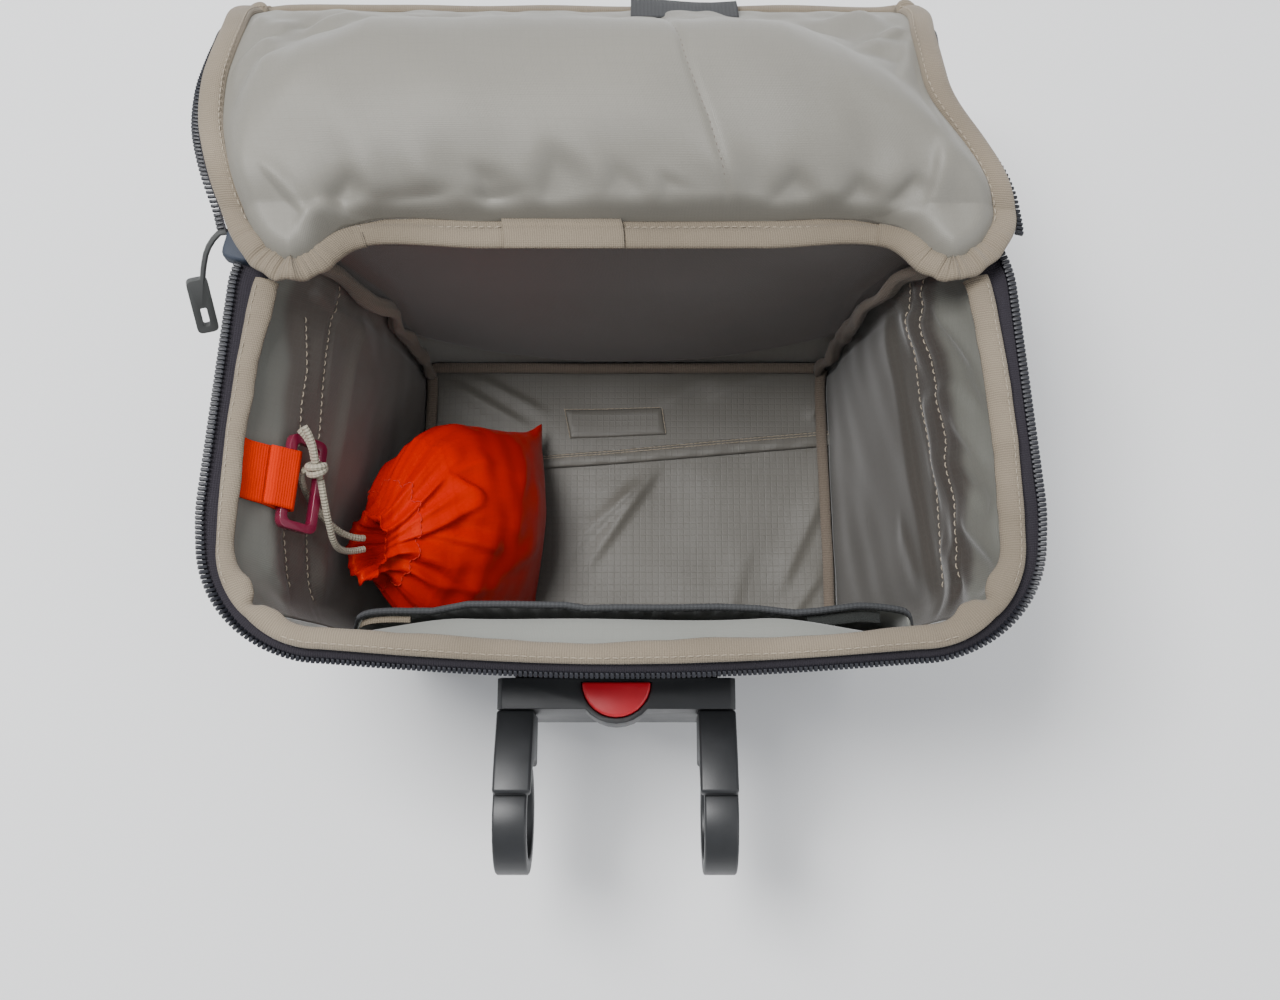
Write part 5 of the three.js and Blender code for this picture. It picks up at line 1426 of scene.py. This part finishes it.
def make_shell():
    """The padded outer wall, from the middle of its base up over the rim and down inside."""
    turns = np.linspace(0, 4, SHELL_STEPS, endpoint=False)
    grid, uv = [], []
    around = lengths(np.vstack([wall_row(turns, 100, 0), wall_row([0], 100, 0)]))

    def add(ring, up):
        grid.append(ring)
        uv.append(np.stack([around, np.full(around.shape, up)], axis=-1) * MM)

    base = wall_row(turns, 0, 0)
    for share in (0.02, 0.35, 0.7, 0.93):
        add(base * (share, share, 1), -90 * (1 - share))
    for z in [0, 0.8, 2, 4, *np.linspace(7, TUB_HEIGHT, SHELL_ROWS)]:
        add(wall_row(turns, z, -shell_relief(turns, np.full(turns.shape, float(z))) - slack_out(turns, z)), z)
    add(wall_row(turns, TUB_HEIGHT, SHELL_WALL - slack_out(turns, TUB_HEIGHT)), TUB_HEIGHT + 3)
    for z in np.linspace(TUB_HEIGHT - 6, SHELL_FLOOR, SHELL_INNER_ROWS):
        add(wall_row(turns, z, SHELL_WALL - slack_out(turns, z)), 2 * TUB_HEIGHT - z)
    for share in (0.9, 0.5, 0.02):
        add(wall_row(turns, SHELL_FLOOR, SHELL_WALL) * (share, share, 1), 2 * TUB_HEIGHT + 90 * (1 - share))
    piece = surface("outer_wall", np.array(grid), np.array(uv), wrap_columns=True, caps=True)
    return dress(close_up(piece), OUTER_CLOTH, replaces=["shell"])


make_lid_cover()
make_shell()


# Piping over the four side seams
for seam_number, seam_turn in enumerate(SIDE_SEAMS):
    seam_path = [wall_point(seam_turn, z, -0.5) for z in np.linspace(6, TUB_HEIGHT - 8, 60)]
    piping = strip(f"side_piping_{seam_number}", tube_rings(seam_path, 1.5, 10))
    dress(piping, ZIP_CLOTH)


# Pocket on the near wall
POCKET_FROM, POCKET_TO, POCKET_FOOT, POCKET_TOP = 1.19, 1.845, 20.0, 146.0
POCKET_BULGE, POCKET_SPREAD, BAND_LEVEL = 15.5, 0.25, 148


def pocket_back(turns, z):
    across = np.sin(math.pi * (turns - POCKET_FROM) / (POCKET_TO - POCKET_FROM))
    up = np.clip((z - POCKET_FOOT) / (POCKET_TOP - POCKET_FOOT), 0, 1)
    return lining_front(turns, z) + 2 * GAP + POCKET_BULGE * np.maximum(0, across) ** POCKET_SPREAD * up


# How far the band's edge strays towards the near wall, by place along it
BAND_WAVE = [(-112, -1), (-105, 2.2), (-96, 1), (-82, -1), (-73, -1.6), (-60, 1.2), (-22, 0.5), (-14, -1.2),
             (37, -1), (53, -1.6), (67, -3.4), (76, -2.4), (92, 0.6), (112, 1)]


def band_stray(turns):
    return 0.8 * np.interp(wall_row(turns, BAND_LEVEL, 0)[:, 0], *zip(*BAND_WAVE))


def band_place(turn):
    """How far in the pocket's mouth lies, and how far its band strays."""
    return float(pocket_back(np.array([turn]), POCKET_TOP)[0]), float(band_stray([turn])[0])


def make_pocket():
    turns = np.linspace(POCKET_FROM, POCKET_TO, POCKET_STEPS)
    heights = np.linspace(POCKET_FOOT, POCKET_TOP - 0.8, POCKET_ROWS)
    rows = []
    for z in heights:
        up = (z - POCKET_FOOT) / (POCKET_TOP - POCKET_FOOT)
        slack = 0.8 * unrest(turns * 100, z, 26, 131) * math.sin(math.pi * up)
        pucker = 0.7 * np.sin(turns * 260) * up**4
        edge = np.minimum(1, np.minimum(turns - POCKET_FROM, POCKET_TO - turns) / 0.05)
        stray = band_stray(turns) * up**4
        rows.append(wall_row(turns, z, pocket_back(turns, z) + 1.2 + (slack + pucker) * edge + stray))
    grid = np.array(rows)
    piece = surface("pocket_cloth", grid, unrolled(heights, lengths(grid[-1]))[..., ::-1])
    dress(thicken(piece, POCKET_CLOTH), POCKET_NYLON, replaces=["inner_pocket"])
    return piece


def make_elastic():
    """A ribbed elastic band along the pocket's mouth, wavy where it is sewn."""
    rings = []
    for turn in np.linspace(POCKET_FROM, POCKET_TO, BAND_STEPS):
        back, stray = band_place(turn)
        wavy = 0.5 * float(unrest(turn * 100, 0, 14, 141))
        ring = []
        for inset, lift in tape_section(2.8, 4.6):
            place = wall_point(turn, BAND_LEVEL, back + inset - 0.3 + 0.5 * wavy + stray)
            ring.append([*place[:2], POCKET_TOP - 1.2 + lift + wavy])
        rings.append(ring)
    return dress(strip("pocket_band", rings), ELASTIC, replaces=["pocket_elastic"])


def make_band_tape(name, start, end, inset, width, material):
    """A flat strip sewn to the wall's side of the band."""
    rings = []
    for turn in np.linspace(turn_at(start, 1, 0), turn_at(end, 1, 0), BAND_TAPE_STEPS):
        back, stray = band_place(turn)
        ring = []
        for across, lift in tape_section(width, 1.2):
            place = wall_point(turn, BAND_LEVEL, back - inset - across + stray)
            ring.append([*place[:2], POCKET_TOP - 2.2 + lift])
        rings.append(ring[::-1])
    return dress(strip(name, rings), material)


make_pocket()
make_elastic()
make_band_tape("band_backing_left", -111, -82, 0.4, 2.6, BINDING)
make_band_tape("band_patch_right", 72, 100, 0.4, 4.4, HOOK_TAPE)


# Stitches
def make_stitch():
    """One stitch: a short twisted thread that dips at both ends. X runs along the seam."""
    share = np.linspace(0, 1, 7)
    path = [(2.3 * (t - 0.5), 0, 0.34 * math.sin(math.pi * t) - 0.12) for t in share]
    radius = np.array([0.12, 0.24, 0.27, 0.28, 0.27, 0.24, 0.12])
    form = strip("stitch_form", tube_rings(path, radius, 6))
    for vertex in form.data.vertices:
        vertex.co /= MM
    return form


stitch_form = make_stitch()


def sew(name, lines, pitch=3.1, material=None, tall=1.0):
    """Stitches along lines of points, each line with the way that its cloth faces."""
    frames = []
    for points, faces in lines:
        points, faces = np.array(points, float), np.array(faces, float)
        run = lengths(points)
        for number, place in enumerate(np.arange(pitch / 2, run[-1], pitch)):
            at = point_along(place, run, points)
            way = unit(point_along(place + 0.8, run, points) - point_along(place - 0.8, run, points))
            face = point_along(place, run, faces)
            face = unit(face - way * np.dot(face, way))
            side = np.cross(face, way)
            lean = 0.1 * math.sin(number * 2.3)
            way, side = way + side * lean, side - way * lean
            frames.append((at, way, side * tall, face * tall))
    return dress(placed_copies(name, stitch_form, frames), material or THREAD)


def wall_seam(table, relief, lift=0.35):
    """A line of stitches on a side wall."""
    turns = np.linspace(table[0][0], table[-1][0], 80)
    points, faces = [], []
    for turn in turns:
        z = float(seam_height(turn, table))
        here = np.array([turn])
        inset = float(lining_front(here, z)[0] - 0.3 + relief(here, np.array([z]))[0])
        points.append(wall_point(turn, z, max(inset, LINING_BACK + 1.3) + lift))
        faces.append(wall_point(turn, z, 1) - wall_point(turn, z, 0))
    return points, faces


sew("wall_stitches", [
    wall_seam(LEFT_SEAM_HIGH, left_relief), wall_seam(LEFT_SEAM_LOW, left_relief),
    wall_seam(RIGHT_SEAM_HIGH, right_relief), wall_seam(RIGHT_SEAM_LOW, right_relief),
], pitch=3.4)


def lid_line(rows, ease=LID_EASE):
    points = np.array([lid_points(x, along, lift, ease) for x, along, lift in rows])
    above = np.array([lid_points(x, along, lift + 1, ease) for x, along, lift in rows])
    return points, above - points


HINGE_STITCH_LIFT = 3.55


def hinge_stitch_rows():
    rows = []
    for x in np.linspace(-104, 104, 90):
        row = x / 104 * HINGE_ROW
        lift = HINGE_STITCH_LIFT + 0.5 * float(unrest(row * 40, 0, 22, 71))
        rows.append((x, HINGE_SEAM, lift))
    return rows


def lid_edge_stitch_rows(start, end, inset, lift):
    rows = []
    for row in np.linspace(start, end, 60):
        edge = lid_edge(row, inset)
        rows.append((edge[0], edge[1], lift))
    return rows


lid_seam_rows = []
for reach in np.linspace(17, 132, 60):
    seam_x = float(lid_seam_x(reach))
    lid_seam_rows.append((seam_x, reach, float(lid_lift(seam_x, reach)) + 0.75))
sew("lid_seam_stitches", [lid_line(lid_seam_rows, LINING_EASE)], pitch=2.9, material=LID_THREAD)
sew("lid_stitches", [
    lid_line(hinge_stitch_rows()),
    lid_line(lid_edge_stitch_rows(6, 12.6, 8.6, BINDING_HEIGHT * 0.86)),
    lid_line(lid_edge_stitch_rows(EDGE_ROWS - 12.6, EDGE_ROWS - 6, 8.6, BINDING_HEIGHT * 0.86)),
], pitch=3.2)


RIM_STITCH_SHARE = 0.22


def rim_stitch_line(start, end):
    points, faces = [], []
    for turn in np.linspace(start, end, 140):
        sway = rim_sway(turn)
        out = float(slack_out(turn, TUB_HEIGHT))
        share = RIM_STITCH_SHARE
        inset = rim_width(turn) * share + sway * 0.7 * share - out
        flat = wall_point(turn, TUB_HEIGHT, inset)
        up = BINDING_HEIGHT * 0.93 * rim_swell(turn) + 0.3 * sway - 1.1 * share
        points.append([flat[0], flat[1], TUB_HEIGHT + 0.1 + up])
        faces.append((0, 0, 1))
    return points, faces


sew("rim_stitches", [rim_stitch_line(turn_at(46, 0, 1), 0.92), rim_stitch_line(1.09, 1.91),
                     rim_stitch_line(2.08, turn_at(48, 2, 1))], pitch=3.0, tall=0.8)


def flat_line(points, lift):
    rows = np.array(smooth_path([(*point, 0) for point in points], 16))
    for row in rows:
        row[2] = FLOOR_TOP + lift + float(floor_relief(row[0], row[1]))
    return rows, np.tile((0, 0, 1.0), (len(rows), 1))


def between(first, second, share):
    return [tuple(mix(np.array(a, float), np.array(b, float), share)) for a, b in zip(first, second)]


def patch_side(first, second):
    start, end = np.array(PATCH[first]), np.array(PATCH[second])
    return flat_line([start, mix(start, end, 0.5), end], 0.7)


sew("floor_stitches", [
    flat_line(between(STRIP_FAR, STRIP_NEAR, 0.1), 0.9), flat_line(between(STRIP_FAR, STRIP_NEAR, 0.28), 1.3),
    patch_side(0, 1), patch_side(1, 2), patch_side(3, 0),
], pitch=2.3, tall=0.8)


# The rain cover in its pouch
MOUTH = np.array([-107.0, -42.0, 106.0])
FOOT = np.array([-43.0, -9.0, 13.4])
POUCH_SEAM = np.array([0.03, 1, 0.12])
POUCH_WIDTH, POUCH_THICKNESS = 92.0, 56.0
# Each row gives its place along the pouch, its width, thickness and shift, and its pleats' size
POUCH_SECTIONS = np.array([
    (0, 0.31, 0.4, -0.02, 0.42), (0.025, 0.28, 0.36, -0.01, 0.5), (0.06, 0.27, 0.38, 0.01, 0.75),
    (0.12, 0.5, 0.62, 0.04, 0.85), (0.24, 0.84, 0.84, 0.06, 0.5), (0.4, 0.98, 0.98, 0.05, 0.18),
    (0.56, 0.99, 1, 0.03, 0.05), (0.72, 0.97, 0.9, 0.01, 0), (0.86, 0.97, 0.62, 0, 0),
    (0.95, 0.98, 0.3, 0, 0), (1, 1.0, 0.045, 0, 0),
])
CASING_STOP, POUCH_SIDES = 0.115, 200
# Each fold runs from across, along to across, along with a width and a height
POUCH_FOLDS = [
    (-8, 6, 10, 44, 4, 2.6), (10, 44, 26, 26, 4, 2.4), (20, 8, 34, 40, 5, 2.0), (-4, 10, -14, 60, 5, 2.6),
    (-20, 14, -34, 56, 5, 2.4), (4, 30, -6, 74, 7, 1.4), (30, 30, 22, 74, 7, 1.5), (-30, 8, -38, 36, 4, 1.8),
    (-24, 60, -10, 92, 8, 1.2), (8, 66, 34, 84, 6, 1.0),
]


def pouch_section(stop):
    return [np.interp(stop, POUCH_SECTIONS[:, 0], POUCH_SECTIONS[:, k]) for k in range(1, 5)]


def make_pouch():
    axis = unit(FOOT - MOUTH)
    length = np.linalg.norm(FOOT - MOUTH)
    wide = unit(POUCH_SEAM)
    thick = unit(np.cross(axis, wide))
    stops = np.concatenate([
        np.linspace(0, 0.3, 60), np.linspace(0.3, 0.93, 60)[1:], np.linspace(0.93, 1, 12)[1:],
    ])
    angles = np.arange(POUCH_SIDES) * TURN / POUCH_SIDES
    grid, uv = [], []
    for stop in stops:
        row = pouch_section(stop)
        low = pouch_section(max(0, stop - 0.035))
        high = pouch_section(min(1, stop + 0.035))
        width, thickness, shift, pleats = (np.array(row) * 2 + low + high) / 4 if 0.02 < stop < 0.93 else row
        centre = MOUTH + axis * (stop * length) + wide * (shift * POUCH_WIDTH)
        folds_here = 0
        for count, size, seed in ((9, 2.4, 1), (14, 1.5, 2), (23, 0.8, 3)):
            ridge = np.abs(np.cos(count * angles / 2 + 1.7 * seed + 1.2 * stop * seed))
            soft = np.cos(count * angles + 1.7 * seed + 2.4 * stop * seed)
            folds_here = folds_here + size * mix(soft, 1.3 - 2 * ridge, float(smooth_step(0.04, 0.16, stop)))
        reach = np.maximum(width * POUCH_WIDTH / 2, 4)
        pleat = pleats * folds_here * min(1, reach / 14)
        run_across, run_along = np.cos(angles) * 46, np.full(angles.shape, stop * length)
        slack = 1.5 * unrest(run_across, run_along + np.sin(angles) * 20, 52, 151)
        slack = (slack + 0.4 * unrest(run_across, run_along, 17, 152)) * float(smooth_step(0.1, 0.3, stop))
        slack = slack * (1 - 0.6 * smooth_step(0.5, 0.7, stop))
        creases = folds(run_across, run_along, POUCH_FOLDS)
        off_edge = np.abs(np.sin(angles)) > 0.1
        slack = slack + np.where(off_edge, creases, 0) * float(smooth_step(0.02, 0.1, stop))
        slack = slack * (1 - float(smooth_step(0.9, 1, stop)) * 0.8)
        flare = 1 + 0.05 * float(smooth_step(0.9, 1, stop)) * np.maximum(0, np.cos(angles)) ** 8
        across = (width * POUCH_WIDTH / 2 * flare + pleat + slack * 0.5) * np.cos(angles)
        deep = (thickness * POUCH_THICKNESS / 2 + (pleat + slack) * min(1, thickness * 2)) * np.sin(angles)
        ring = centre + np.outer(across, wide) + np.outer(deep, thick)
        ring[:, 2] = np.maximum(ring[:, 2], FLOOR_TOP + 0.5)
        grid.append(ring)
        around = lengths(np.vstack([ring, ring[:1]]))
        uv.append(np.stack([around, np.full(around.shape, stop * length)], axis=-1) * MM)
    inside = []
    for depth, size in ((3.0, 0.8), (9.0, 0.7), (17.0, 0.52), (25.0, 0.25)):
        ring = (grid[0] - grid[0].mean(axis=0)) * size + grid[0].mean(axis=0) + axis * depth
        inside.insert(0, ring)
        uv.insert(0, uv[0])
    piece = surface("pouch", np.array(inside + grid), np.array(uv), wrap_columns=True, caps=True)
    dress(close_up(piece), POUCH_NYLON, replaces=["rain_cover_pouch"])
    casing = grid[int(np.argmin(np.abs(stops - CASING_STOP)))]
    faces = casing - casing.mean(axis=0)
    sew("pouch_stitches", [(casing + faces / np.linalg.norm(faces, axis=1)[:, None] * 0.3, faces)], pitch=2.6,
        material=POUCH_THREAD)
    return piece


make_pouch()


# Key strap
STRAP_Y, STRAP_HALF = -26, 12.5


def make_strap():
    """Orange webbing: down from the rim, round the hook's bar and back up."""
    turn = turn_at(STRAP_Y, 0, 1)
    loop_z, radius, cloth = 149.0, 3.4, 1.4
    inset = front_at(turn, loop_z) + GAP + cloth / 2
    line = [(front_at(turn, z) + GAP + cloth / 2, z) for z in (167, 163.5, 160, 156, 152)]
    for step in range(13):
        angle = math.pi + math.pi * step / 12
        line.append((inset + radius + radius * math.cos(angle), loop_z + radius * math.sin(angle)))
    line += [(inset + radius * 1.35, 152), (inset + cloth + 1.2, 157.2)]
    line = np.array(smooth_path([(a, 0, b) for a, b in line], 2))
    grid = []
    sides = np.linspace(-1, 1, 19)
    level = level_at(loop_z)
    half = STRAP_HALF / (level[3] - level[2])
    flat_way = wall_point(turn, loop_z, 1) - wall_point(turn, loop_z, 0)
    for x, _, z in line:
        row = []
        for side in sides:
            out = float(slack_out(turn, z)) * float(smooth_step(151, 164, z))
            base = wall_point(turn, z, 0) + flat_way * (x - out)
            along = wall_point(turn + side * half, z, 0) - wall_point(turn, z, 0)
            row.append(base + along)
        grid.append(row)
    uv = unrolled(lengths(line), STRAP_HALF * sides)
    piece = surface("key_strap_web", np.array(grid), uv)
    apply_modifier(piece, "SOLIDIFY", thickness=STRAP_CLOTH * MM, offset=0)
    return dress(close_up(piece), STRAP_WEB, replaces=["key_strap"])


make_strap()


# Webbing tab on the lid's free edge
TAB_LEFT, TAB_RIGHT, TAB_ROOT, TAB_LENGTH = 22, 68, 29, 20


def make_tab():
    """A short pull of webbing, sewn under the free edge's tape and lying over it."""
    def place(x, t):
        share = (x - TAB_LEFT) / (TAB_RIGHT - TAB_LEFT)
        bow = math.sin(math.pi * share)
        along = LID_TOTAL - TAB_ROOT + (TAB_LENGTH + 3 * bow) * t
        lift = mix(1.8, 6.4, t) + 0.7 * math.sin(share * 5 + t) * t + 0.6
        return lid_points(x, along, lift)

    grid = grid_of(np.linspace(TAB_LEFT, TAB_RIGHT, 44), np.linspace(0, 1, 16), place)
    piece = surface("lid_pull_tab", grid, unrolled(lengths(grid[:, 6]), lengths(grid[0])))
    return dress(thicken(piece, TAB_CLOTH), ELASTIC, replaces=["lid_tab"])


make_tab()


# Moulded parts: each follows its solid, with rounder edges
def refine(node_name, name, material, ease, body="bag"):
    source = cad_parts[node_name]
    piece = source.copy()
    piece.data = source.data.copy()
    piece.name = name
    piece.modifiers.clear()
    bpy.context.scene.collection.objects.link(piece)
    piece.matrix_world = source.matrix_world.copy()
    edit(piece, lambda: bpy.ops.mesh.remove_doubles(threshold=1e-5), bpy.ops.mesh.normals_make_consistent)
    apply_modifier(piece, "DECIMATE", decimate_type="DISSOLVE", angle_limit=math.radians(2))
    apply_modifier(piece, "BEVEL", width=ease * MM, segments=3, limit_method="ANGLE",
                   angle_limit=math.radians(38))
    only(piece)
    bpy.ops.object.shade_smooth_by_angle(angle=math.radians(32))
    return dress(piece, material, body=body, replaces=[node_name])


# The last number of each is how far its edges are rounded
refine("bracket_body", "bracket_block", BRACKET, 1.0)
refine("adapter_plate", "rear_plate", BRACKET, 0.4)
for hand in ("left", "right"):
    refine("bracket_arm_" + hand, "arm_" + hand, BRACKET, 1.2)
    refine("clamp_band_" + hand, "clamp_" + hand, BRACKET, 0.9)
refine("release_button", "red_button", BUTTON, 0.9, body="release_button")
refine("key_hook", "maroon_hook", HOOK_PLASTIC, 1.1)
refine("zip_slider", "slider", SLIDER_PAINT, 1.5)
refine("zip_pull", "pull", GRIP_RUBBER, 0.6)

bpy.data.objects.remove(stitch_form)
